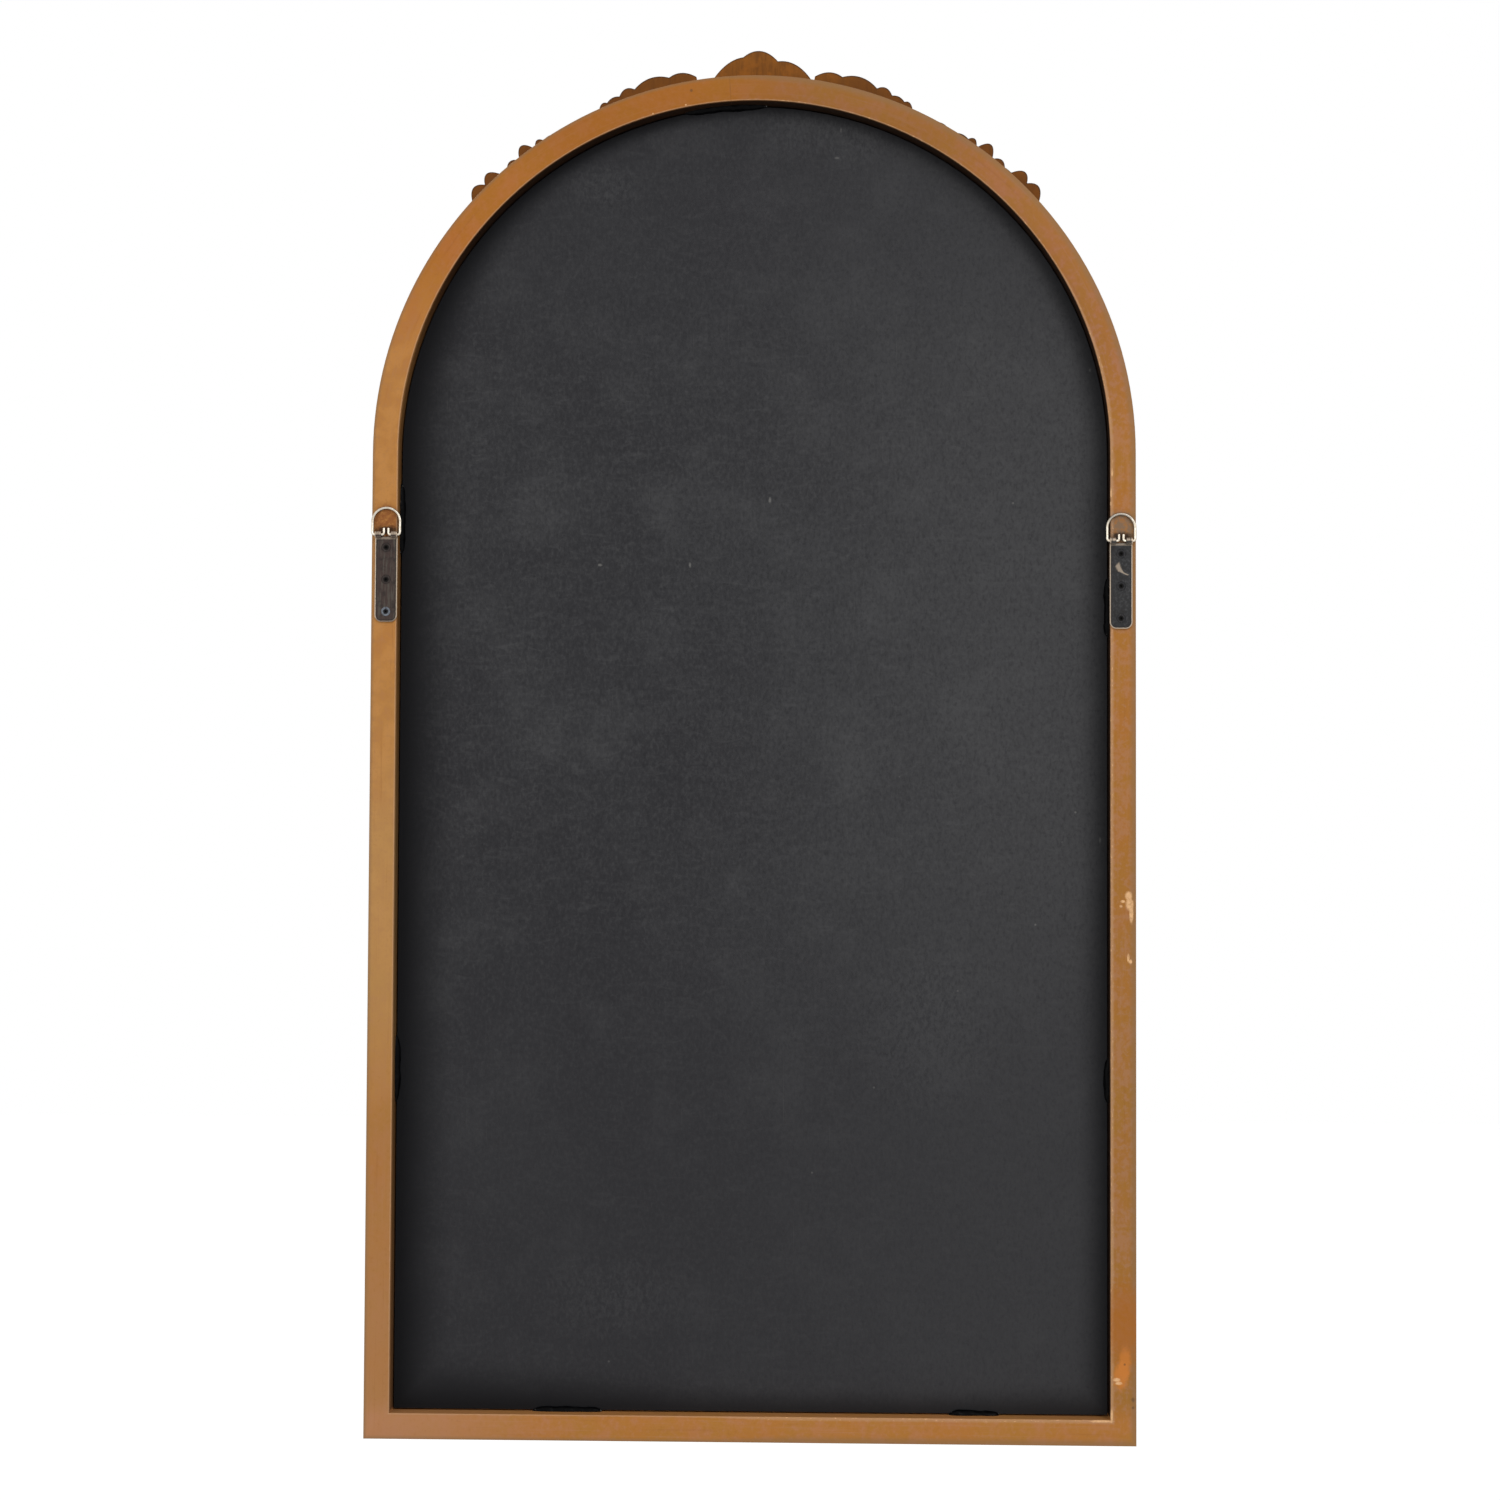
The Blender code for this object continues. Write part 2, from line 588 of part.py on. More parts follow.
def ring_path():
    """Half of the D-ring's wire about its own bar: up-turned end, bar, leg and quarter of the bow."""
    end_x = RING_END_SPACING / 2
    bow_z = RING_HEIGHT - RING_LEG_X
    corners = [Vector((end_x, 0, RING_END_LENGTH)), Vector((end_x, 0, 0)), Vector((RING_LEG_X, 0, 0)),
               Vector((RING_LEG_X, 0, bow_z))]
    half = rounded_path(corners, (RING_END_BEND, RING_CORNER))
    for step in range(1, BOW_STEPS + 1):
        turn = math.pi / 2 * step / BOW_STEPS
        half.append(Vector((RING_LEG_X * math.cos(turn), 0, bow_z + RING_LEG_X * math.sin(turn))))
    other = [Vector((-point.x, 0, point.z)) for point in reversed(half[:-1])]
    return half + other


def build_d_ring(side, sign, finish):
    """The D-ring on its hinge, leaning on the frame's back as it does when nothing holds it."""
    lean = math.asin((BAR_Y - WIRE_RADIUS - SEAT_GAP) / RING_HEIGHT)
    points = ring_path()
    curve = bpy.data.curves.new(side + "_d_ring", "CURVE")
    curve.dimensions = "3D"
    curve.bevel_depth = WIRE_RADIUS
    curve.bevel_resolution = 2
    curve.use_fill_caps = True
    spline = curve.splines.new("POLY")
    spline.points.add(len(points) - 1)
    for point, place in zip(spline.points, points):
        point.co = (*place, 1)
    spline.use_smooth = True
    curve.materials.append(finish)
    ring = bpy.data.objects.new(side + "_d_ring", curve)
    ring.location = hanger_bar(sign)
    ring.rotation_euler = (lean, 0, 0)
    bpy.context.scene.collection.objects.link(ring)


def build_hangers(plate_finish, ring_finish, screw_finish):
    for side, sign in (("left", -1), ("right", 1)):
        build_plate(side, sign, plate_finish)
        build_screws(side, sign, screw_finish)
        build_d_ring(side, sign, ring_finish)


clear_scene()
joint_places = joint_dowels()
gold_paint = material("gold_paint", GOLD, 0.5, 0.2)
build_stiles(gold_paint, joint_places)
build_bottom_rail(gold_paint, joint_places)
build_arch(gold_paint, joint_places)
build_dowels(material("beech", BEECH, 0.7), joint_places)
build_glass_and_board(material("mirror", SILVERING, 0.03, 1.0), material("board", BOARD_BLACK, 0.85))
build_crest(material("crest_gold", CREST_GOLD, 0.5, 0.3))
build_glue(material("glue", GLUE_BLACK, 0.3))
build_hangers(material("bronze", BRONZE, 0.45, 0.8), material("zinc_wire", ZINC, 0.3, 1.0),
              material("screw_bronze", BRONZE, 0.4, 0.8))
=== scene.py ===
import math

import bmesh
import bpy
import numpy as np
from mathutils import Matrix, Vector


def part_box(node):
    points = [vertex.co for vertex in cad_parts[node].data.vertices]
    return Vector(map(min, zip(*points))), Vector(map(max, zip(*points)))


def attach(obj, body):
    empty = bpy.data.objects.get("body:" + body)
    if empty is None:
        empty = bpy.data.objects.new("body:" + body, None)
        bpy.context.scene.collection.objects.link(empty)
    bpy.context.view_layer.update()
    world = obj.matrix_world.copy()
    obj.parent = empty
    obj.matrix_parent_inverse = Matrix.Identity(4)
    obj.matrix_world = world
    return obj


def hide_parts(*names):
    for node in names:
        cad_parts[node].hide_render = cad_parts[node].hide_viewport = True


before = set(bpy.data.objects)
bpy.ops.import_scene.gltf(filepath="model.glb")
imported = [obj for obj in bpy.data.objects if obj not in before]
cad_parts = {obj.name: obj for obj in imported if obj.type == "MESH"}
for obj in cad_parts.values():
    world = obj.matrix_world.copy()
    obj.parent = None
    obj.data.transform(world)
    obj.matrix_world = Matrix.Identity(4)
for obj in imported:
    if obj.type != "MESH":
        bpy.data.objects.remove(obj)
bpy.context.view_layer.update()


# Frame. Two stiles and a bottom rail, mitred at the foot, and two bent arch members butted beside the
# crown, all of one moulding: a flat back, a rebate for the glass, then bead, cove, crown and ovolo.
# The wood is sprayed in bronze gold, knocked through to pale primer at a few places on the back.
RIM_WIDTH = 0.017
LIP_REACH = 0.010
LIP_THICKNESS = 0.0025
REBATE_DEPTH = 0.0221
BEAD_WIDTH = 0.005
BEAD_RISE = 0.002
CROWN_RISE = 0.0054
CROWN_FLAT = 0.003
OVOLO_WIDTH = 0.007
OVOLO_HEIGHT = 0.007
QUIRK_WIDTH = 0.002
QUIRK_STEP = 0.001
ARRIS_RADIUS = 0.0007
CORNER_SOFTENING = 0.0003
ARC_STEPS = 12
ARCH_SPAN_DEG = 30
ARCH_SPAN_STEPS = 16
END_FACTOR = 0.001
ARRIS_STEPS = 4
MEMBER_EDGE_DEG = 40.0
CROWN_JOINT_DEG = 3.8

STILE_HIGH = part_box("right_stile")[1]
HALF_WIDTH = STILE_HIGH.x
FOOT_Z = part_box("bottom_rail")[0].z
SPRING_Z = (STILE_HIGH.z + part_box("right_arch")[0].z) / 2
SIGHT_INSET = RIM_WIDTH + LIP_REACH
BEAD_FOOT = REBATE_DEPTH + LIP_THICKNESS
CROWN_DEPTH = BEAD_FOOT + CROWN_RISE
CROWN_INSET = QUIRK_WIDTH + OVOLO_WIDTH
SIDE_DEPTH = CROWN_DEPTH - OVOLO_HEIGHT - QUIRK_STEP
CREASES = (QUIRK_WIDTH, CROWN_INSET + CROWN_FLAT + 0.0004, SIGHT_INSET - BEAD_WIDTH)
HIGH_LINES = (CROWN_INSET + 0.0012, SIGHT_INSET - BEAD_WIDTH / 2, QUIRK_WIDTH + 0.0030)
UPRIGHT = (math.pi / 2, 0, 0)

# Where each tone of the paint, painted shade and painted light starts and is whole, and the widths of its
# wear, of the painted highlight on the inner arris and of the painted shade along the outer edge.
ARCH_FADE = (SPRING_Z + 0.04, SPRING_Z + 0.15)
LOW_ARCH_FADE = (SPRING_Z, SPRING_Z + 0.08)
CROWN_FADE = (SPRING_Z + 0.18, SPRING_Z + 0.22)
RAIL_FADE = (FOOT_Z + 0.012, FOOT_Z + 0.030)
LEFT_FADE = (0.03, -0.03)
FAR_RIGHT_FADE = (0.10, 0.24)
BACK_FADE = (0.0012, 0.0004)
FACE_FADE = (SIDE_DEPTH - 0.0020, SIDE_DEPTH)
WALL_FADE = (RIM_WIDTH - 0.0003, RIM_WIDTH - 0.0001)
LIT_RAIL_FADE = (FOOT_Z + RIM_WIDTH + 0.0020, FOOT_Z + RIM_WIDTH + 0.0003)
CREASE_FADE = (0.0010, 0.0002)
RUB_FADE = (0.0015, 0.0003)
SEAM_FADE = (0.0022, 0.0004)
ARRIS_PALE_BAND = 0.0010
ARRIS_PALE_BAND_LEFT = 0.0016
EDGE_SHADE_WIDTH = 0.0022
PINHOLE_SPACING = 0.012

GOLD = (0.400, 0.158, 0.029)
GOLD_OLIVE = (0.382, 0.163, 0.0275)
GOLD_ROSE = (0.415, 0.168, 0.062)
GOLD_LIGHT = (0.500, 0.225, 0.070)
GOLD_DUSTY = (0.420, 0.200, 0.095)
GOLD_PALE = (0.480, 0.280, 0.125)
GOLD_RUST = (0.600, 0.205, 0.036)
GOLD_AMBER = (0.385, 0.128, 0.016)
GOLD_SHADED = (0.270, 0.095, 0.024)
GOLD_RUBBED = (0.640, 0.370, 0.120)
GLAZE = (0.085, 0.036, 0.012)
WORN_ARRIS_AND_HIGHLIGHT = (0.520, 0.315, 0.180)
OUTER_EDGE_SHADE = (0.255, 0.150, 0.070)
# the colour of painted shade on the recess walls and of the painted shadows by the D-rings
PAINTED_SHADE_DARK = (0.010, 0.005, 0.003)
RING_GREY = (0.235, 0.145, 0.085)
PRIMER = (0.830, 0.495, 0.245)
PORE_BROWN = (0.110, 0.052, 0.020)
TONE_RIGHT = (1.00, 1.01, 0.86)
TONE_LEFT = (0.99, 0.97, 0.90)
TONE_LEFT_LOW = (0.91, 0.96, 0.98)
TONE_ARCH_RIGHT = (1.03, 0.89, 0.66)
TONE_ARCH_LEFT = (0.91, 0.88, 1.06)
TONE_CROWN = (0.88, 0.89, 0.79)
TONE_FOOT = (1.10, 1.11, 1.18)

# Marks on the back of the frame: x, z and the half sizes along both. Rust also has its strength.
PAINT_CHIPS = ((-0.2490, -0.2535, 0.0022, 0.0028), (-0.2497, -0.2590, 0.0024, 0.0038),
               (-0.2508, -0.2655, 0.0013, 0.0056), (-0.2453, -0.2572, 0.0014, 0.0009),
               (-0.2440, -0.2604, 0.0009, 0.0007), (-0.2488, -0.2945, 0.0008, 0.0026),
               (-0.2503, -0.2968, 0.0010, 0.0014), (-0.2383, 0.0264, 0.0006, 0.0020),
               (-0.2376, 0.0130, 0.0005, 0.0030), (-0.2374, 0.0060, 0.0004, 0.0014),
               (-0.2410, -0.5700, 0.0022, 0.0012), (-0.2424, -0.5722, 0.0022, 0.0010),
               (-0.2310, -0.5970, 0.0070, 0.0007), (-0.2378, -0.5930, 0.0008, 0.0040),
               (0.0459, 0.2738, 0.0006, 0.0005), (0.0679, 0.2680, 0.0005, 0.0005))
RUST_PATCHES = ((-0.2466, -0.5585, 0.0034, 0.0095, 0.8), (-0.2436, -0.5680, 0.0044, 0.0080, 0.9))
AMBER_STAIN = (-0.2460, -0.5350, 0.0110, 0.0260)
STAIN_DEPTH = 0.006
PORES = ((0.0422, 0.2835, 0.0010, 0.0010), (-0.2517, -0.5829, 0.0011, 0.0014),
         (-0.2517, -0.5881, 0.0008, 0.0010), (-0.2462, -0.5600, 0.0007, 0.0007))
# Round each D-ring: the x, z and colour of the grime and painted shade inside it and their half sizes, then
# the half sizes and drop of a painted shadow just above its bar.
RING_GRIME_AND_SHADE = ((-0.2441, -0.0096, RING_GREY), (0.2441, -0.0058, GOLD_SHADED))
HALO_HALF = (0.0098, 0.0108)
RING_SHADOW_HALF = (0.0078, 0.0026)
RING_SHADOW_DROP = 0.0062
MARK_RAGGEDNESS = 1.6


class Wire:
    """A socket of a node tree. Sums on it add Math nodes, and node() adds a node of any other type."""

    def __init__(self, tree, socket=None):
        self.tree = tree
        self.socket = socket

    def node(self, kind, settings=None, inputs=None, output=0):
        """Adds a node, first its settings and then its sockets' values or links. Gives one output."""
        made = self.tree.nodes.new(kind)
        for name, value in (settings or {}).items():
            if name == "captures":
                for label, form in value:
                    made.capture_items.new(form, label)
            else:
                setattr(made, name, value)
        for name, value in (inputs or {}).items():
            if isinstance(value, Wire):
                self.tree.links.new(value.socket, made.inputs[name])
            else:
                made.inputs[name].default_value = value
        return Wire(self.tree, made.outputs[output])

    def other(self, output):
        return Wire(self.tree, self.socket.node.outputs[output])

    def math(self, operation, *others):
        return self.node("ShaderNodeMath", {"operation": operation}, dict(enumerate((self, *others))))

    def __add__(self, other):
        return self.math("ADD", other)

    def __sub__(self, other):
        return self.math("SUBTRACT", other)

    def __rsub__(self, other):
        return self.node("ShaderNodeMath", {"operation": "SUBTRACT"}, {0: other, 1: self})

    def __mul__(self, other):
        return self.math("MULTIPLY", other)

    def __truediv__(self, other):
        return self.math("DIVIDE", other)

    def __lt__(self, other):
        return self.math("LESS_THAN", other)

    def __gt__(self, other):
        return self.math("GREATER_THAN", other)

    def __abs__(self):
        return self.math("ABSOLUTE")

    __radd__ = __add__
    __rmul__ = __mul__


def vector(first, operation, second):
    """Vector maths on two wires, or on a wire and three numbers."""
    return first.node("ShaderNodeVectorMath", {"operation": operation}, {0: first, 1: second})


def split(place):
    """The x, y and z of a vector."""
    x = place.node("ShaderNodeSeparateXYZ", None, {"Vector": place})
    return x, x.other("Y"), x.other("Z")


def stored(place, name):
    """What the mesh keeps at its points under a name."""
    return place.node("ShaderNodeAttribute", {"attribute_name": name}, output="Fac")


def noise(place, size, detail=3.0, rough=0.55, warp=0.0):
    """Fractal noise from 0 to 1, with blotches about as wide as size: one length, or one for each axis."""
    if not isinstance(size, (int, float)):
        place = vector(place, "DIVIDE", size)
        size = 1.0
    return place.node("ShaderNodeTexNoise", None, {
        "Vector": place, "Scale": 1 / size, "Detail": detail, "Roughness": rough, "Distortion": warp})


def cells(place, size):
    """Distance to the nearest of scattered points, which lie about a size apart."""
    return place.node("ShaderNodeTexVoronoi", None, {"Vector": place, "Scale": 1 / size})


def fade(value, start, end):
    """0 at start and 1 at end, smooth between them. The end may lie below the start."""
    return value.node("ShaderNodeMapRange", {"interpolation_type": "SMOOTHSTEP"}, {
        "Value": value, "From Min": start, "From Max": end})


def blend(mask, first, second):
    """The first colour where the mask is 0 and the second where it is 1."""
    first, second = (c if isinstance(c, Wire) else (*c, 1.0) for c in (first, second))
    return mask.node("ShaderNodeMix", {"data_type": "RGBA"}, {0: mask, 6: first, 7: second}, output=2)


def coats(colour, *layers):
    """The colour under further layers, each with its mask and its own colour."""
    for mask, tint in layers:
        colour = blend(mask, colour, tint)
    return colour


def marks(place, rows, ragged, softness, level=0.0, depth=0.004):
    """1 in patches on a face at a level, each with its x, z and half sizes. ragged eats at their edges."""
    patches = []
    uneven = (ragged - 0.5) * MARK_RAGGEDNESS
    for x, z, half_x, half_z in rows:
        away = vector(vector(place, "SUBTRACT", (x, level, z)), "DIVIDE", (half_x, depth, half_z))
        length = away.node("ShaderNodeVectorMath", {"operation": "LENGTH"}, {0: away}, output="Value")
        patches.append(fade(length + uneven, 1 + softness, 1 - softness))
    return sum(patches).math("MINIMUM", 1.0)


def bump(height, depth):
    """A normal from a height of 0 to 1 that stands for a real depth."""
    return height.node("ShaderNodeBump", None, {"Height": height, "Distance": depth})


def new_finish(name):
    """A new material, and the place on its piece in the object's own metres."""
    made = bpy.data.materials.new(name)
    made.use_nodes = True
    return made, Wire(made.node_tree).node("ShaderNodeTexCoord", output="Object")


def dress(made, values):
    """Sets or links the sockets of a material's shader."""
    shader = made.node_tree.nodes["Principled BSDF"]
    for name, value in values.items():
        if isinstance(value, Wire):
            made.node_tree.links.new(value.socket, shader.inputs[name])
        else:
            shader.inputs[name].default_value = value


def geometry_tree(name, sizes):
    """A geometry tree with named inputs. Gives its incoming geometry and a wire for each input."""
    tree = bpy.data.node_groups.new(name, "GeometryNodeTree")
    tree.interface.new_socket("Geometry", in_out="OUTPUT", socket_type="NodeSocketGeometry")
    tree.interface.new_socket("Geometry", in_out="INPUT", socket_type="NodeSocketGeometry")
    for label, kind in sizes.items():
        tree.interface.new_socket(label, in_out="INPUT", socket_type="NodeSocket" + kind)
    start = Wire(tree).node("NodeGroupInput")
    return start, {label: start.other(label) for label in sizes}


def end_tree(shape, finish, place=(0, 0, 0), turn=(0, 0, 0)):
    """Ends a tree with its shape turned, moved to its place and made real geometry in one material."""
    solid = shape.node("GeometryNodeTransform", None, {
        "Geometry": shape, "Translation": place, "Rotation": turn})
    solid = shape.node("GeometryNodeSetMaterial", None, {"Geometry": solid, "Material": finish})
    solid = shape.node("GeometryNodeRealizeInstances", None, {"Geometry": solid})
    end = shape.tree.nodes.new("NodeGroupOutput")
    shape.tree.links.new(solid.socket, end.inputs[0])
    return shape.tree


def swept(path, ring, scale=1.0):
    """The closed solid that a ring sweeps along a path."""
    return path.node("GeometryNodeCurveToMesh", None, {
        "Curve": path, "Profile Curve": ring, "Fill Caps": True, "Scale": scale})


def keep(shape, name, value):
    """The shape with a value kept at its points under a name."""
    return shape.node("GeometryNodeStoreNamedAttribute", None, {
        "Geometry": shape, "Name": name, "Value": value})


def push(shape, way, distance):
    """Moves each point of a shape by its own distance along its own way."""
    offset = shape.node("ShaderNodeVectorMath", {"operation": "SCALE"}, {0: way, "Scale": distance})
    return shape.node("GeometryNodeSetPosition", None, {"Geometry": shape, "Offset": offset})


def shown(name, data):
    """A new object in the scene."""
    made = bpy.data.objects.new(name, data)
    bpy.context.scene.collection.objects.link(made)
    return made


def plain_mesh(thing):
    """The mesh that an object's modifiers make. The object itself goes."""
    mesh = bpy.data.meshes.new_from_object(thing.evaluated_get(bpy.context.evaluated_depsgraph_get()))
    bpy.data.objects.remove(thing)
    return mesh


def closed_mesh(solid, mesh):
    """Writes loose faces to a mesh, turned outwards."""
    bmesh.ops.recalc_face_normals(solid, faces=solid.faces)
    solid.to_mesh(mesh)
    solid.free()
    return mesh


def grown(name, data, tree, values, edge_deg):
    """The plain mesh that a geometry tree makes of a path or a mesh, as a new object."""
    seed = shown(name + "_seed", data)
    modifier = seed.modifiers.new(tree.name, "NODES")
    modifier.node_group = tree
    for item in tree.interface.items_tree:
        if item.name in values:
            modifier[item.identifier] = values[item.name]
    return placed(name, plain_mesh(seed), edge_deg)


def placed(name, mesh, edge_deg):
    """A mesh as an object at the origin, its faces turned out and shaded smooth up to an angle."""
    solid = bmesh.new()
    solid.from_mesh(mesh)
    closed_mesh(solid, mesh)
    mesh.shade_smooth()
    mesh.set_sharp_from_angle(angle=math.radians(edge_deg))
    return shown(name, mesh)


def seat(piece, body, nodes):
    """The piece rides on a body and stands for its CAD nodes, which are hidden."""
    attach(piece, body)
    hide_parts(*nodes)


def arc(centre, width, height, start_deg, end_deg, steps=ARC_STEPS):
    """Points of an elliptical arc."""
    turns = [math.radians(start_deg + (end_deg - start_deg) * step / steps) for step in range(steps + 1)]
    return [(centre[0] + width * math.cos(turn), centre[1] + height * math.sin(turn)) for turn in turns]


def moulding_section():
    """The moulding's closed section: inset from the outer edge, and depth in front of the back."""
    bead_start = SIGHT_INSET - BEAD_WIDTH
    cove_width = bead_start - CROWN_INSET - CROWN_FLAT
    arris, soft = ARRIS_RADIUS, CORNER_SOFTENING
    points = arc((arris, arris), arris, arris, 180, 270, ARRIS_STEPS)
    points += arc((RIM_WIDTH - arris, arris), arris, arris, -90, 0, ARRIS_STEPS)
    points += [(RIM_WIDTH, REBATE_DEPTH), (SIGHT_INSET, REBATE_DEPTH)]
    points += arc((bead_start + BEAD_WIDTH / 2, BEAD_FOOT), BEAD_WIDTH / 2, BEAD_RISE, 0, 180)
    points += arc((bead_start, CROWN_DEPTH), cove_width, CROWN_RISE, 270, 180)[1:]
    points += arc((CROWN_INSET, CROWN_DEPTH - OVOLO_HEIGHT), OVOLO_WIDTH, OVOLO_HEIGHT, 90, 180)
    points += [(QUIRK_WIDTH, SIDE_DEPTH)]
    points += arc((soft, SIDE_DEPTH - soft), soft, soft, 90, 180, ARRIS_STEPS)
    return points


def section_object(name, points):
    """A closed section as a loop of edges, its second coordinate upside down as the sweep needs it."""
    mesh = bpy.data.meshes.new(name)
    edges = [(index, (index + 1) % len(points)) for index in range(len(points))]
    mesh.from_pydata([(x, -y, 0) for x, y in points], edges, [])
    return bpy.data.objects.new(name, mesh)


def section_ring(size):
    """A section's loop as a curve, with the two measures of each of its points."""
    ring = size["Section"].node("GeometryNodeObjectInfo", None, {"Object": size["Section"]}, "Geometry")
    ring = ring.node("GeometryNodeMeshToCurve", None, {"Mesh": ring})
    ring = ring.node("GeometryNodeCaptureAttribute", {"captures": (("Place", "VECTOR"),)}, {
        "Geometry": ring, "Place": ring.node("GeometryNodeInputPosition")})
    across, down, _ = split(ring.other("Place"))
    return ring, across, down


def sweep_tree():
    """Sweeps a section along a path in the plane of the frame, mitres its ends and stands it upright."""
    path, size = geometry_tree("moulding_sweep", {
        "Section": "Object", "Start Mitre": "Float", "End Mitre": "Float", "Finish": "Material"})
    path = path.node("GeometryNodeSetCurveNormal", {"mode": "Z_UP"}, {"Curve": path})
    course = path.node("GeometryNodeSplineParameter")
    path = path.node("GeometryNodeCaptureAttribute", {"captures": (
        ("Factor", "FLOAT"), ("Length", "FLOAT"), ("Tangent", "VECTOR"))}, {
        "Geometry": path, "Factor": course, "Length": course.other("Length"),
        "Tangent": path.node("GeometryNodeInputTangent")})
    ring, inset, _ = section_ring(size)
    at_start = path.other("Factor") < END_FACTOR
    at_end = path.other("Factor") > 1 - END_FACTOR
    mitre = (at_start * size["Start Mitre"] - at_end * size["End Mitre"]) * inset
    shape = push(swept(path, ring), path.other("Tangent"), mitre)
    shape = keep(keep(shape, "along", path.other("Length")), "inset", inset)
    return end_tree(shape, size["Finish"], turn=UPRIGHT)


def line_path(*points):
    """A path of straight lines in the plane of the frame, as curve data."""
    path = bpy.data.curves.new("line", "CURVE")
    path.dimensions = "3D"
    spline = path.splines.new("POLY")
    spline.points.add(len(points) - 1)
    for point, (x, z) in zip(spline.points, points):
        point.co = (x, z, 0, 1)
    return path


def arch_path(start_deg, end_deg, radius=HALF_WIDTH):
    """A path round the arch at a radius, from one angle from the crown to another, as curve data."""
    path = bpy.data.curves.new("arch", "CURVE")
    path.dimensions = "3D"
    path.resolution_u = ARCH_SPAN_STEPS
    spline = path.splines.new("BEZIER")
    count = max(1, round((end_deg - start_deg) / ARCH_SPAN_DEG))
    spline.bezier_points.add(count)
    step = math.radians((end_deg - start_deg) / count)
    reach = radius * 4 / 3 * math.tan(step / 4)
    for index, point in enumerate(spline.bezier_points):
        turn = math.radians(start_deg) + step * index
        tangent = Vector((math.cos(turn), -math.sin(turn), 0))
        point.co = (radius * math.sin(turn), SPRING_Z + radius * math.cos(turn), 0)
        point.handle_left = point.co - tangent * reach
        point.handle_right = point.co + tangent * reach
    return path


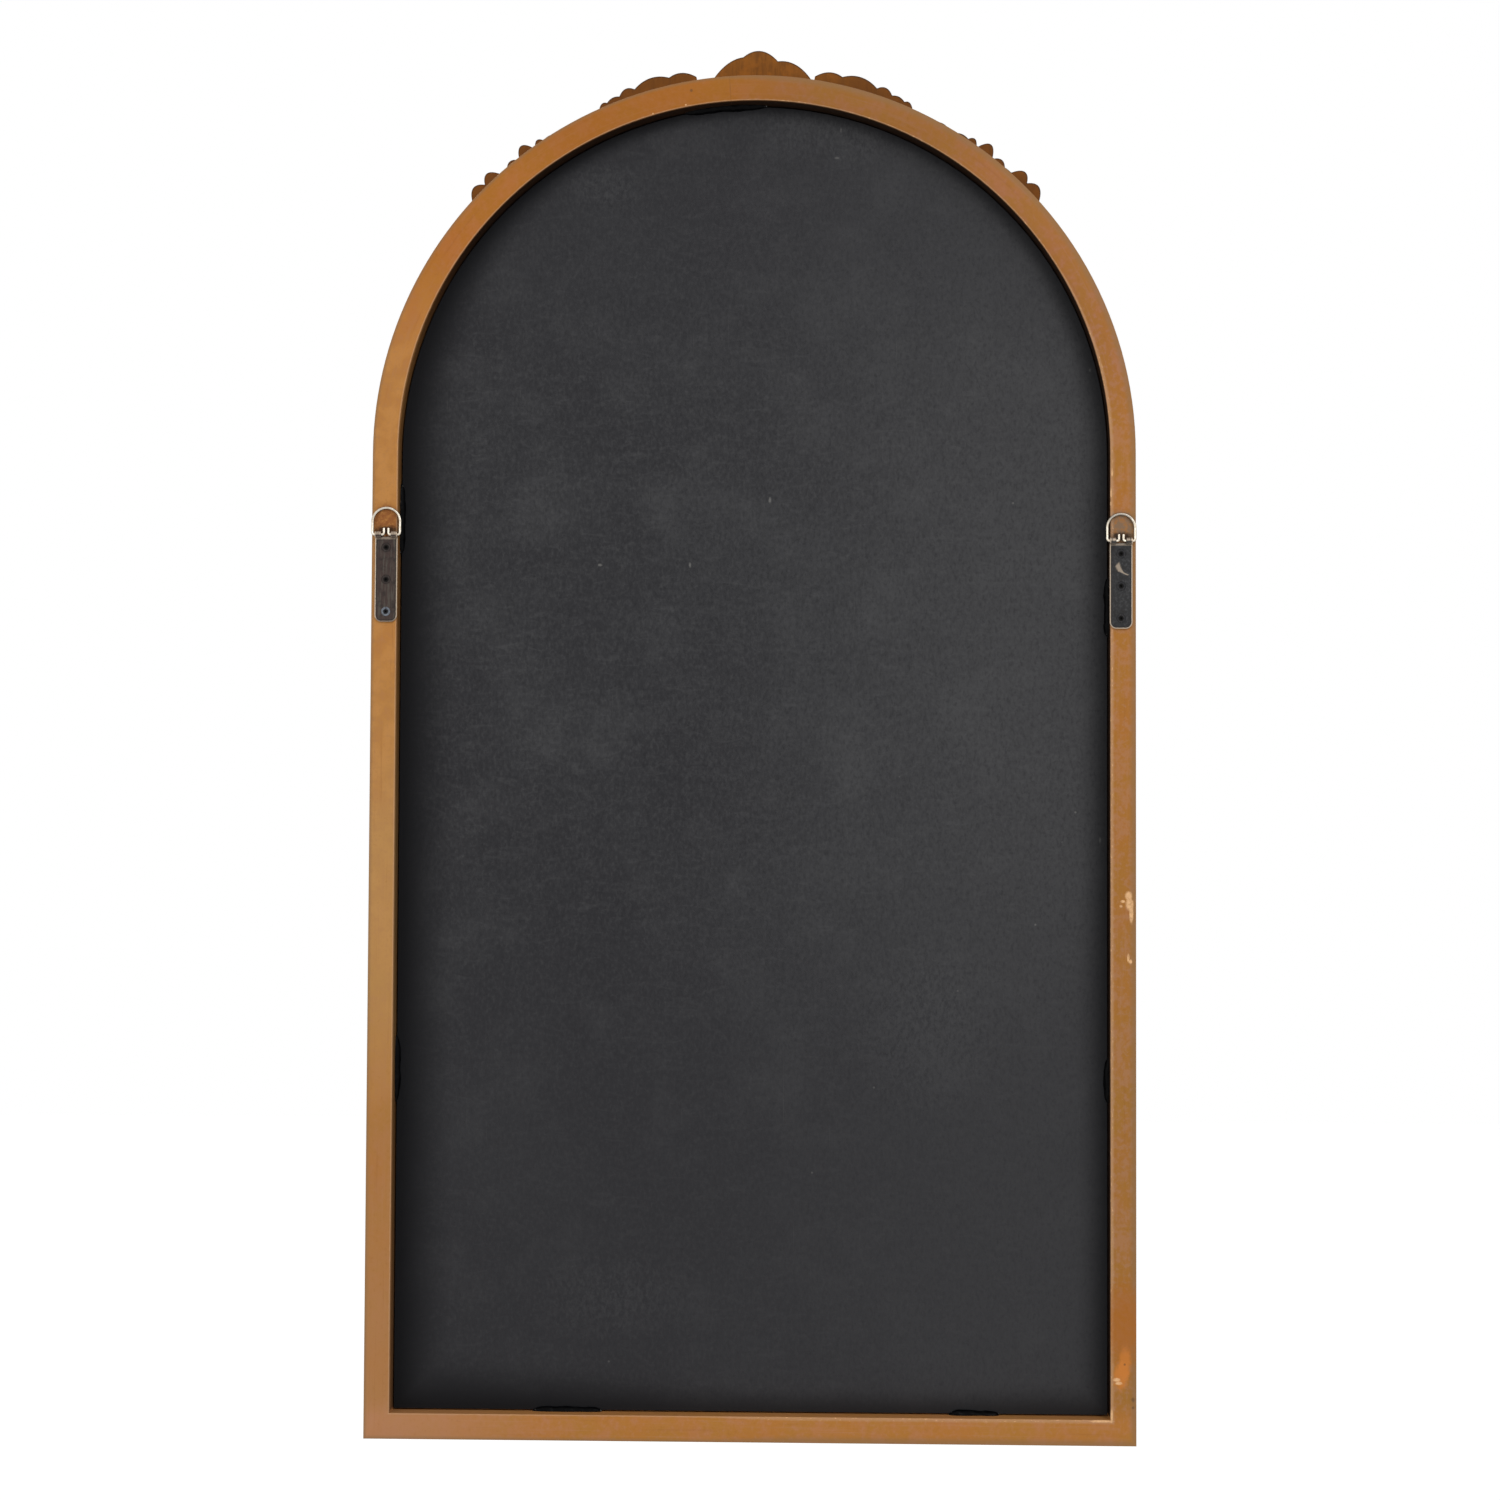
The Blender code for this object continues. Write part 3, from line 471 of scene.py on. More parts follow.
def gold_paint_finish():
    """Sprayed bronze gold over primed wood: cloudy tone, faint brush marks along the member, and wear."""
    made, place = new_finish("bronze_gold_paint")
    inset = stored(place, "inset")
    across, y, height = split(place)
    depth = 0 - y
    flow = place.node("ShaderNodeCombineXYZ", None, {"X": stored(place, "along"), "Y": inset, "Z": depth})
    cloud = noise(place, 0.05, 2.0)
    patch = noise(place, 0.014, 3.0, 0.6)
    streak = noise(flow, (0.09, 0.0022, 0.004), 3.0, 0.6)
    mottle = noise(place, 0.0035, 4.0, 0.65)
    grit = noise(place, 0.0007, 3.0, 0.7)
    ragged = noise(place, 0.0025, 4.0, 0.7)
    flakes = noise(flow, (0.0040, 0.0010, 0.0040), 3.0, 0.7)
    drift, uneven = cloud - 0.5, mottle - 0.5
    blotch = patch * 0.5 + ragged * 0.5
    arch = fade(height, *ARCH_FADE)
    side = 1 - arch
    left = fade(across, *LEFT_FADE)
    far_right = fade(across, *FAR_RIGHT_FADE)
    above_rail = fade(height, *RAIL_FADE)
    back = fade(depth, *BACK_FADE)
    face = fade(depth, *FACE_FADE)

    bright = fade(across, 0.02, 0.22) * fade(height + drift * 0.3, -0.46, -0.16) * side
    dusty = fade(height + drift * 0.25, FOOT_Z + 0.34, FOOT_Z + 0.02) * far_right
    worn_middle = fade(abs(height + 0.27 + drift * 0.1), 0.16, 0.04) * far_right
    worn_left = fade(mottle * 0.6 + patch * 0.4, 0.47, 0.58) * left * side * above_rail
    colour = coats(
        blend(fade(cloud, 0.38, 0.62), GOLD_OLIVE, GOLD),
        (fade(patch, 0.42, 0.66) * 0.65, GOLD_ROSE),
        (bright * (0.4 + 0.6 * fade(patch, 0.62, 0.40)), GOLD_LIGHT),
        (dusty * 0.7, GOLD_DUSTY),
        (worn_middle * 0.5, GOLD_PALE),
        (fade(streak, 0.54, 0.72) * 0.40, GOLD_DUSTY),
        (fade(streak, 0.42, 0.26) * 0.30, GOLD_SHADED),
        (fade(mottle, 0.48, 0.68) * 0.32, GOLD_DUSTY),
        (fade(mottle, 0.46, 0.28) * 0.22, GOLD_SHADED),
        (worn_left * 0.45, GOLD_DUSTY))

    low_arch = fade(height, *LOW_ARCH_FADE) * left
    tone = blend(left, TONE_RIGHT, blend(fade(height, -0.10, -0.40), TONE_LEFT, TONE_LEFT_LOW))
    tone = blend(arch.math("MAXIMUM", low_arch), tone, blend(left, TONE_ARCH_RIGHT, TONE_ARCH_LEFT))
    crown = fade(height, *CROWN_FADE)
    tone = vector(tone, "MULTIPLY", blend(crown, (1, 1, 1), TONE_CROWN))
    colour = vector(colour, "MULTIPLY", blend(above_rail, TONE_FOOT, tone))
    # Inside each D-ring the paint is darker, partly grime and partly painted shade; just above the bar, by
    # the knuckles, a painted shadow.
    for x, z, halo_tint in RING_GRIME_AND_SHADE:
        halo = marks(place, [(x, z, *HALO_HALF)], blotch, 0.3) * back
        ring_shadow = marks(place, [(x, z - RING_SHADOW_DROP, *RING_SHADOW_HALF)], ragged, 0.5) * back
        colour = coats(colour, (halo * (0.35 + 0.75 * fade(mottle, 0.36, 0.60)), halo_tint),
                       (ring_shadow * 0.85, PAINTED_SHADE_DARK))

    creases = sum(fade(abs(inset - line) + uneven * 0.0008, *CREASE_FADE) for line in CREASES)
    rubbed = sum(fade(abs(inset - line) + uneven * 0.0014, *RUB_FADE) for line in HIGH_LINES)
    rubbed = (rubbed * face * fade(streak * 0.5 + patch * 0.5, 0.36, 0.60)).math("MINIMUM", 1.0)
    arris_width = ARRIS_PALE_BAND + left * side * ARRIS_PALE_BAND_LEFT
    inner_arris = back * fade((inset - RIM_WIDTH + uneven * 0.0008) / arris_width, -1.2, -0.4)
    edge_shade_width = EDGE_SHADE_WIDTH + left * EDGE_SHADE_WIDTH + uneven * 0.0010
    wall = fade(inset, *WALL_FADE) * (depth < REBATE_DEPTH + 0.001)
    lit_rail = fade(height, *LIT_RAIL_FADE)
    shut = arch.math("MAXIMUM", left)
    shade = fade(depth, 0.0004, 0.0090 - 0.0055 * shut)
    amber = marks(place, [AMBER_STAIN], blotch, 0.5, depth=STAIN_DEPTH)
    rust = sum(marks(place, [row], patch * 0.4 + ragged * 0.6, 0.45, depth=STAIN_DEPTH) * strength
               for *row, strength in RUST_PATCHES).math("MINIMUM", 1.0)
    chipped = marks(place, PAINT_CHIPS, ragged * 0.5 + grit * 0.5, 0.35) * back
    pinholes = fade(cells(place, PINHOLE_SPACING), 0.05, 0.02) * fade(mottle, 0.5, 0.6)
    pores = (marks(place, PORES, ragged, 0.4) + pinholes).math("MINIMUM", 1.0)
    joint = across.math("ARCTAN2", height - SPRING_Z) - math.radians(CROWN_JOINT_DEG)
    seam = fade(abs(joint) + uneven * 0.002, *SEAM_FADE) * fade(height, SPRING_Z, SPRING_Z + 0.1)
    seam = seam * fade(mottle, 0.30, 0.60)
    colour = coats(
        colour,
        (face * fade(patch, 0.55, 0.35) * 0.35, GLAZE),
        (rubbed * 0.7, GOLD_RUBBED),
        (creases.math("MINIMUM", 1.0) * face * 0.8, GLAZE),
        # pale inner arris: worn paint and a painted highlight along the edge
        (inner_arris * 0.5, WORN_ARRIS_AND_HIGHLIGHT),
        (fade(flakes, 0.58, 0.68) * inner_arris * (0.2 + 0.6 * left), PRIMER),
        # painted shade along the rounded outer edge of the back
        (back * fade(inset / edge_shade_width, 1.3, 0.2) * 0.6, OUTER_EDGE_SHADE),
        # painted shade on the walls of the recess, deeper further in and on the arch and the left stile
        (wall * (1 - lit_rail) * (0.16 + 0.45 * shut + (0.50 - 0.15 * shut) * shade), PAINTED_SHADE_DARK),
        # painted light on the bottom rail's wall, which faces up
        (wall * lit_rail * 0.55, GOLD_LIGHT),
        (amber * back * 0.75, GOLD_AMBER),
        (rust * back * 0.9, GOLD_RUST),
        (chipped * (0.55 + 0.45 * fade(ragged, 0.35, 0.6)), PRIMER),
        (pores * 0.6, PORE_BROWN),
        (seam * 0.30, PORE_BROWN))
    relief = grit * 0.25 + mottle * 0.35 + streak * 0.3 - chipped * 0.8 - seam * 0.5 - pores * 0.5
    dress(made, {"Base Color": colour, "Roughness": 0.46 + 0.22 * mottle + chipped * 0.25,
                 "Metallic": 0.25 + 0.25 * rubbed - 0.25 * (chipped + pores).math("MINIMUM", 1.0),
                 "Specular IOR Level": 0.2, "Normal": bump(relief, 0.00012)})
    return made


gold_paint = gold_paint_finish()
sweep = sweep_tree()
section = section_object("moulding_section", moulding_section())
foot_left, foot_right = (-HALF_WIDTH, FOOT_Z), (HALF_WIDTH, FOOT_Z)
members = {
    "left_stile": (line_path(foot_left, (-HALF_WIDTH, SPRING_Z)), 1.0, 0.0),
    "left_arch": (arch_path(-90, CROWN_JOINT_DEG), 0.0, 0.0),
    "right_arch": (arch_path(CROWN_JOINT_DEG, 90), 0.0, 0.0),
    "right_stile": (line_path((HALF_WIDTH, SPRING_Z), foot_right), 0.0, 1.0),
    "bottom_rail": (line_path(foot_right, foot_left), 1.0, 1.0)}
for node, (path, start_mitre, end_mitre) in members.items():
    member = grown("painted_" + node, path, sweep, {
        "Section": section, "Start Mitre": start_mitre, "End Mitre": end_mitre,
        "Finish": gold_paint}, MEMBER_EDGE_DEG)
    seat(member, "frame", [node])
bpy.data.objects.remove(section)


# Dowels. Beech pins glued into the joints of the frame, out of sight. They stay as they are in the model
# and get bare wood with its rays and grain.
BEECH_PALE = (0.52, 0.35, 0.20)
BEECH_DARK = (0.36, 0.22, 0.12)


def give_finish(mesh, finish):
    """Gives a mesh one finish in place of its own."""
    mesh.materials.clear()
    mesh.materials.append(finish)


beech, place = new_finish("bare_beech")
grain = noise(place, (0.0012, 0.0012, 0.012), 4.0)
flecks = noise(place, 0.0006, 2.0)
dress(beech, {"Base Color": blend(fade(grain + (flecks - 0.5) * 0.3, 0.35, 0.65), BEECH_PALE, BEECH_DARK),
              "Roughness": 0.6 + 0.2 * grain, "Normal": bump(grain, 0.00008)})
for node in ("crown_dowel", "left_shoulder_dowel", "right_shoulder_dowel",
             "left_corner_dowel", "right_corner_dowel"):
    give_finish(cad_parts[node].data, beech)


# Mirror glass. Three millimetres of float glass with a silvered back, loose in the rebate under the lip.
# It keeps its shape from the model. Its face is clean, with the faint haze that wiping leaves.
SILVER = (0.84, 0.86, 0.86)
SILVER_COOL = (0.80, 0.83, 0.83)

silvered, place = new_finish("silvered_glass")
haze = noise(place, (0.09, 0.05, 0.16), 4.0, 0.6, 0.6)
wipes = noise(place, (0.30, 0.05, 0.012), 3.0, 0.6, 1.2)
dress(silvered, {"Base Color": blend(haze, SILVER_COOL, SILVER), "Metallic": 1.0,
                 "Roughness": 0.012 + 0.03 * fade(haze, 0.5, 0.8) * fade(wipes, 0.4, 0.7),
                 "Coat Weight": 0.6 + 0.2 * haze})
give_finish(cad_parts["mirror_glass"].data, silvered)


# Backing board. Thin hardboard, painted black on its outer face, held in the rebate by dabs of glue.
# The paint is dull and dusty, with handling scuffs, fine scratches and specks of lint.
RECESS_DEPTH = 0.016
WALL_X = HALF_WIDTH - RIM_WIDTH
WALL_Z = FOOT_Z + RIM_WIDTH
BOARD_BLACK = (0.0352, 0.0352, 0.0380)
BOARD_DEEP = (0.0290, 0.0285, 0.0315)
BOARD_EDGE = (0.0075, 0.0078, 0.0092)
BOARD_DUST = (0.0850, 0.0850, 0.0870)
BOARD_LINT = (0.2400, 0.2350, 0.2200)
# Widths of the painted shade along the walls of the recess, which widens towards +X.
WALL_SHADE_WIDTH = 0.019
WALL_SHADE_LEAN = 0.115

# Scuffs and specks on the board: x, z and the half sizes along both.
BOARD_SCUFFS = ((-0.040, 0.262, 0.030, 0.016), (-0.070, 0.252, 0.016, 0.012), (0.100, 0.222, 0.020, 0.012),
                (-0.120, -0.34, 0.035, 0.045), (0.090, -0.52, 0.040, 0.020))
BOARD_MARKS = ((-0.0552, 0.2412, 0.0015, 0.0006), (-0.0578, 0.2602, 0.0005, 0.0014),
               (-0.0111, 0.0102, 0.0008, 0.0016), (0.0423, -0.0335, 0.0007, 0.0014),
               (0.1027, -0.0336, 0.0012, 0.0008), (-0.2248, 0.0976, 0.0007, 0.0010),
               (-0.2314, -0.2165, 0.0006, 0.0018))
MARK_DEPTH = 0.01


def distance(across, up):
    """How far a place lies from a centre, from its two measures at right angles."""
    return (across * across + up * up).math("SQRT")


def board_finish():
    """Black paint over fibres, with painted shade along the walls of the recess."""
    made, place = new_finish("black_hardboard")
    across, _, height = split(place)
    rise = (height - SPRING_Z).math("MAXIMUM", 0.0)
    from_wall = (WALL_X - distance(across, rise)).math("MINIMUM", height - WALL_Z)
    cloud = noise(place, 0.16, 3.0, 0.55)
    haze = noise(place, 0.045, 4.0, 0.6)
    fibre = noise(place, (0.0022, 0.0022, 0.0034), 4.0, 0.7, 0.3)
    felt = noise(place, 0.0011, 3.0, 0.7)
    ragged = noise(place, 0.006, 4.0, 0.7)
    wisps = noise(place, (0.016, 0.01, 0.0055), 4.0, 0.65, 1.2)
    lines = noise(place, (0.0007, 0.01, 0.09), 2.0, 0.5, 0.4)
    scuffed = marks(place, BOARD_SCUFFS, ragged, 0.7, -RECESS_DEPTH, MARK_DEPTH)
    scratches = fade(lines, 0.72, 0.78) * fade(haze, 0.50, 0.62)
    lint = fade(cells(place, 0.026), 0.035, 0.018) * fade(noise(place, 0.03, 1.0), 0.50, 0.60)
    specks = marks(place, BOARD_MARKS, felt, 0.6, -RECESS_DEPTH, MARK_DEPTH) + lint
    edge = WALL_SHADE_WIDTH + across.math("MAXIMUM", 0.0) * WALL_SHADE_LEAN + 0.004 * fade(across, -0.10, -0.20)
    edge = edge * (1 - 0.52 * fade(rise, 0.0, 0.2))
    wall_shade = fade((from_wall + (haze - 0.5) * 0.004) / edge, 1.0, 0.02)
    colour = coats(
        blend(fade(cloud, 0.35, 0.65), BOARD_DEEP, BOARD_BLACK),
        (fade(haze, 0.45, 0.80) * 0.30, BOARD_DUST),
        # lighter towards the -X side
        (fade(across + (cloud - 0.5) * 0.10, 0.10, -0.25) * 0.44, BOARD_DUST),
        (fade(fibre, 0.46, 0.74) * 0.34, BOARD_DUST),
        (fade(fibre, 0.52, 0.26) * 0.38, BOARD_EDGE),
        (fade(wisps, 0.50, 0.72) * 0.22, BOARD_DUST),
        (scuffed * fade(fibre, 0.35, 0.70) * 0.45, BOARD_DUST),
        (scratches * 0.18, BOARD_LINT),
        (specks.math("MINIMUM", 1.0) * 0.45, BOARD_LINT),
        (fade(height, -0.15, -0.45) * 0.55, BOARD_DEEP),
        (fade(height, 0.02, 0.22) * 0.38, BOARD_DEEP),
        # painted shade along the walls of the recess
        (wall_shade * (0.70 + fade(across, 0.0, 0.16) * 0.30), BOARD_EDGE))
    relief = fibre * 0.6 + felt * 0.3 - scratches * 0.4
    dress(made, {"Base Color": colour, "Roughness": 0.72 + 0.2 * fibre, "Specular IOR Level": 0.15,
                 "Normal": bump(relief, 0.00015)})
    return made


give_finish(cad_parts["backing_board"].data, board_finish())


# Glue. Beads of black hot-melt run along the corner between the board and the wall of the recess. Each
# one set while it was being drawn out, so it is lumpy, thin at its ends and shiny.
GLUE_WIDTH = 0.0033
GLUE_HEIGHT = 0.0036
GLUE_CONTACT = 0.00005
GLUE_END_SHARE = 0.30
GLUE_STEP = 0.0005
GLUE_LUMP = 0.0090
GLUE_LUMP_HEIGHT = 0.0014
GLUE_LUMP_SCALE = 1.4
GLUE_SWELL_SCALE = 0.7
GLUE_LEAST_SHARE = 0.55
GLUE_SWELL_SHARE = 0.9
GLUE_FREE_GAIN = 3
GLUE_SEED_STEP = 3.7
GLUE_EDGE_DEG = 65.0
CROWN_GLUE_DEG = (-1.9, 11.5)
GLUE_BLACK = (0.0010, 0.0010, 0.0013)
GLUE_GREY = (0.0030, 0.0032, 0.0036)
GLUE_GLINT = (0.220, 0.215, 0.200)


def bead_tree():
    """Sweeps a quarter-round along the corner of the recess, swelling and lumpy, thin at both ends."""
    path, size = geometry_tree("glue_bead", {
        "Section": "Object", "Step": "Float", "End Share": "Float", "Lump": "Float",
        "Lump Height": "Float", "Depth": "Float", "Seed": "Float", "Finish": "Material"})
    path = path.node("GeometryNodeResampleCurve", {"mode": "LENGTH"}, {
        "Curve": path, "Length": size["Step"]})
    path = path.node("GeometryNodeSetCurveNormal", {"mode": "Z_UP"}, {"Curve": path})
    course = path.node("GeometryNodeSplineParameter")
    path = path.node("GeometryNodeCaptureAttribute", {"captures": (("Course", "FLOAT"),)}, {
        "Geometry": path, "Course": course})
    drift = course.node("ShaderNodeCombineXYZ", None, {
        "X": course.other("Length") / size["Lump"], "Y": size["Seed"]})
    lumps = drift.node("ShaderNodeTexNoise", None, {
        "Vector": drift, "Scale": GLUE_SWELL_SCALE, "Detail": 2.0})
    middle = course * 2 - 1
    swell = (1 - middle * middle * middle * middle).math("MAXIMUM", 0.0).math("SQRT")
    ring, across, down = section_ring(size)
    free = across.math("MINIMUM", down) / GLUE_HEIGHT * GLUE_FREE_GAIN
    shape = swept(path, ring, swell.math("MAXIMUM", size["End Share"]) * (
        GLUE_LEAST_SHARE + GLUE_SWELL_SHARE * lumps))
    place = vector(shape.node("GeometryNodeInputPosition"), "DIVIDE", (GLUE_LUMP,) * 3)
    rough = shape.node("ShaderNodeTexNoise", None, {
        "Vector": place, "Scale": GLUE_LUMP_SCALE, "Detail": 1.0})
    shape = push(shape, shape.node("GeometryNodeInputNormal"),
                 (rough - 0.5) * size["Lump Height"] * free.math("MINIMUM", 1.0))
    shape = keep(shape, "course", path.other("Course"))
    sunk = shape.node("ShaderNodeCombineXYZ", None, {"Y": size["Depth"] * -1})
    return end_tree(shape, size["Finish"], sunk, UPRIGHT)


hot_melt, place = new_finish("black_hot_melt")
ripple = noise(place, 0.004, 3.0, 0.6)
skin = noise(place, 0.0009, 3.0, 0.6)
ends = fade(abs(stored(place, "course") - 0.5), 0.44, 0.47)
# Pale specks at the ends of each bead are painted highlights.
flecks = fade(cells(place, 0.0026), 0.22, 0.12) * ends
colour = coats(blend(fade(ripple, 0.45, 0.75), GLUE_BLACK, GLUE_GREY), (flecks * 0.8, GLUE_GLINT))
dress(hot_melt, {"Base Color": colour, "Roughness": 0.30 + 0.25 * ripple, "Coat Weight": 0.03 * skin,
                 "Specular IOR Level": 0.04, "Normal": bump(ripple * 0.7 + skin * 0.15, 0.0004)})
bead = bead_tree()
corner = (GLUE_CONTACT, -GLUE_CONTACT)
quarter = section_object("bead_section", [corner] + arc(corner, GLUE_WIDTH, -GLUE_HEIGHT, 0, 90))
beads = {"glue_crown": arch_path(*CROWN_GLUE_DEG, radius=WALL_X)}
for node in ("glue_right_upper", "glue_right_lower", "glue_left_upper", "glue_left_lower",
             "glue_foot_right", "glue_foot_left"):
    low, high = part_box(node)
    run = {"right": ((WALL_X, high.z), (WALL_X, low.z)),
           "left": ((-WALL_X, low.z), (-WALL_X, high.z)),
           "foot": ((high.x, WALL_Z), (low.x, WALL_Z))}[node.split("_")[1]]
    beads[node] = line_path(*run)
for seed, (node, path) in enumerate(beads.items()):
    lump = grown("hot_melt_" + node, path, bead, {
        "Section": quarter, "Step": GLUE_STEP, "End Share": GLUE_END_SHARE, "Lump": GLUE_LUMP,
        "Lump Height": GLUE_LUMP_HEIGHT, "Depth": RECESS_DEPTH, "Seed": GLUE_SEED_STEP * seed,
        "Finish": hot_melt}, GLUE_EDGE_DEG)
    seat(lump, "frame", [node])
bpy.data.objects.remove(quarter)


# Crest. Five carved pieces hooked over the outer edge of the arch: a palmette at the crown and two leaf
# sprays on each side of it. Petals and leaflets are cut on the front only. The back is flat and brown,
# where little of the gold was sprayed.
SEAT_GAP = 0.0003
CREST_EDGE = 0.0012
CREST_LEAST_OVERHANG = 0.0009
CREST_TIP_TAPER = 0.004
CREST_ARRIS = 0.0004
CREST_BORDER = 0.0013
CREST_STATIONS = 180
CREST_ROWS = 56
OUTLINE_START = 4
CREST_EDGE_DEG = 50.0
BROW_SHARE = 0.7
FLOW_AT = (0.0, 0.15, 0.4, 0.65, 0.88, 1.0)
FLOW_HEIGHT = (0.95, 1.0, 0.9, 0.65, 0.35, 0.0)
LOBE_RELIEF_SHARE = 0.33
END_FALL_SHARE = 0.8
GROUND_SHARE = 0.42
VEIN_DEPTH = 0.20
VEIN_WIDTH = 0.16
PETAL_SPREAD = 0.60
PETAL_WAIST = 0.34
PETAL_ROUND = 0.62
TIP_SHARE = 0.97
INNER_TIP_SHARE = 0.95
INNER_PETAL_SHARE = 0.85
SIDE_PETAL_SHARE = 0.92
STEM_RELIEF = 0.9
BOSS_SHARE = 0.52
BOSS_RADIUS = 0.0055
BOSS_MOAT = 1.22
STEM_SHARE = 0.34
STEM_HALF = 0.0021
LEAF_LEAN = 0.0085
CREST_SEAT = CROWN_DEPTH + SEAT_GAP
CREST_BACK_DEPTH = SIDE_DEPTH + SEAT_GAP
CREST_FACE = CREST_SEAT + CREST_EDGE

# A carving: its angle from the crown, its half angle, its rise, reach and relief, the lobes of its outline
# and of its inner edge (centre, half width, share), where its petals end. A spray's name comes first.
PALMETTE = (0.0, 8.2, (0.0221, 0.030, 0.0085),
            ((-0.05, 0.60, 1.0), (0.16, 0.69, 0.81), (-0.49, 0.62, 0.70)),
            ((0.0, 0.40, 1.0), (0.40, 0.40, 0.72), (-0.46, 0.42, 0.72),
             (0.74, 0.30, 0.40), (-0.80, 0.30, 0.40)),
            (-0.84, -0.58, -0.32, -0.05, 0.24, 0.50, 0.73),
            (-0.82, -0.48, 0.0, 0.42, 0.76))
PALMETTE_SIDE_TIPS = ((0.93, 0.02, 0.0048), (-0.95, 0.02, 0.0048), (0.93, -0.26, 0.0050),
                      (-0.95, -0.26, 0.0050), (0.90, -0.50, 0.0046), (-0.92, -0.50, 0.0046))
SPRAYS = (("inner", 16.7, 7.9, (0.0138, 0.022, 0.0065),
           ((-0.68, 0.50, 0.88), (-0.19, 0.64, 0.98), (0.32, 0.30, 0.83),
            (0.60, 0.31, 0.63), (0.82, 0.18, 0.56)),
           ((-0.68, 0.44, 0.70), (-0.10, 0.48, 0.95), (0.52, 0.46, 0.65)),
           (-0.92, -0.68, -0.44, -0.19, 0.06, 0.32, 0.59, 0.81, 0.96),
           (-0.84, -0.60, -0.30, -0.02, 0.26, 0.52, 0.80)),
          ("outer", 38.1, 10.3, (0.0112, 0.021, 0.0055),
           ((-0.86, 0.19, 0.41), (-0.51, 0.21, 0.46), (-0.36, 0.12, 0.65),
            (-0.12, 0.165, 0.95), (0.14, 0.155, 0.59), (0.31, 0.24, 0.36),
            (0.51, 0.185, 0.99), (0.77, 0.21, 0.94)),
           ((-0.55, 0.50, 0.50), (0.0, 0.46, 0.80), (0.58, 0.44, 0.95)),
           (-0.86, -0.62, -0.36, -0.12, 0.14, 0.32, 0.51, 0.77, 0.95),
           (-0.82, -0.56, -0.28, 0.0, 0.28, 0.58, 0.86)))

CREST_GOLD = (0.390, 0.165, 0.038)
BACK_BROWN = (0.242, 0.086, 0.011)
BACK_STAIN_AND_SHADE = (0.135, 0.046, 0.007)
BACK_RUST = (0.330, 0.112, 0.012)
BACK_OUTLINE = (0.045, 0.024, 0.012)


def lobed(place, lobes):
    """Height share of a scalloped outline: the highest of its rounded lobes at each place."""
    return np.max([np.zeros_like(place)] + [share * (1 - ((place - centre) / half) ** 2)
                                            for centre, half, share in lobes], axis=0)


def petal(x, y, root, tip, half):
    """Relief of one petal from its root to its tip: rounded across, with a cut vein, 0 outside it."""
    spine = np.subtract(tip, root)
    length = np.hypot(*spine)
    along = ((x - root[0]) * spine[0] + (y - root[1]) * spine[1]) / length ** 2
    away = np.abs((x - root[0]) * spine[1] - (y - root[1]) * spine[0]) / length
    held = np.clip(along, 0, 1)
    half = half * (PETAL_WAIST + (1 - PETAL_WAIST) * np.sin(np.pi * (0.10 + 0.62 * held)))
    past = np.maximum(np.maximum(along - 1, -along), 0) * length
    body = np.clip(1 - (np.hypot(away, past) / half) ** 2, 0, 1) ** PETAL_ROUND
    vein = VEIN_DEPTH * np.exp(-(away / (VEIN_WIDTH * half)) ** 2) * np.clip(held * 4, 0, 1)
    return body * (0.70 + 0.30 * np.sin(np.pi * (0.15 + 0.7 * held))) * (1 - vein)


def fan(x, y, tips, heights, roots):
    """The highest of a row of petals, each as wide as its neighbours allow."""
    relief = np.zeros_like(x + y)
    for index, (tip, height) in enumerate(zip(tips, heights)):
        near = [abs(tip - other) for other in tips[max(index - 1, 0):index + 2] if other != tip]
        relief = np.maximum(relief, petal(x, y, roots[index], (tip, height), PETAL_SPREAD * max(near)))
    return relief


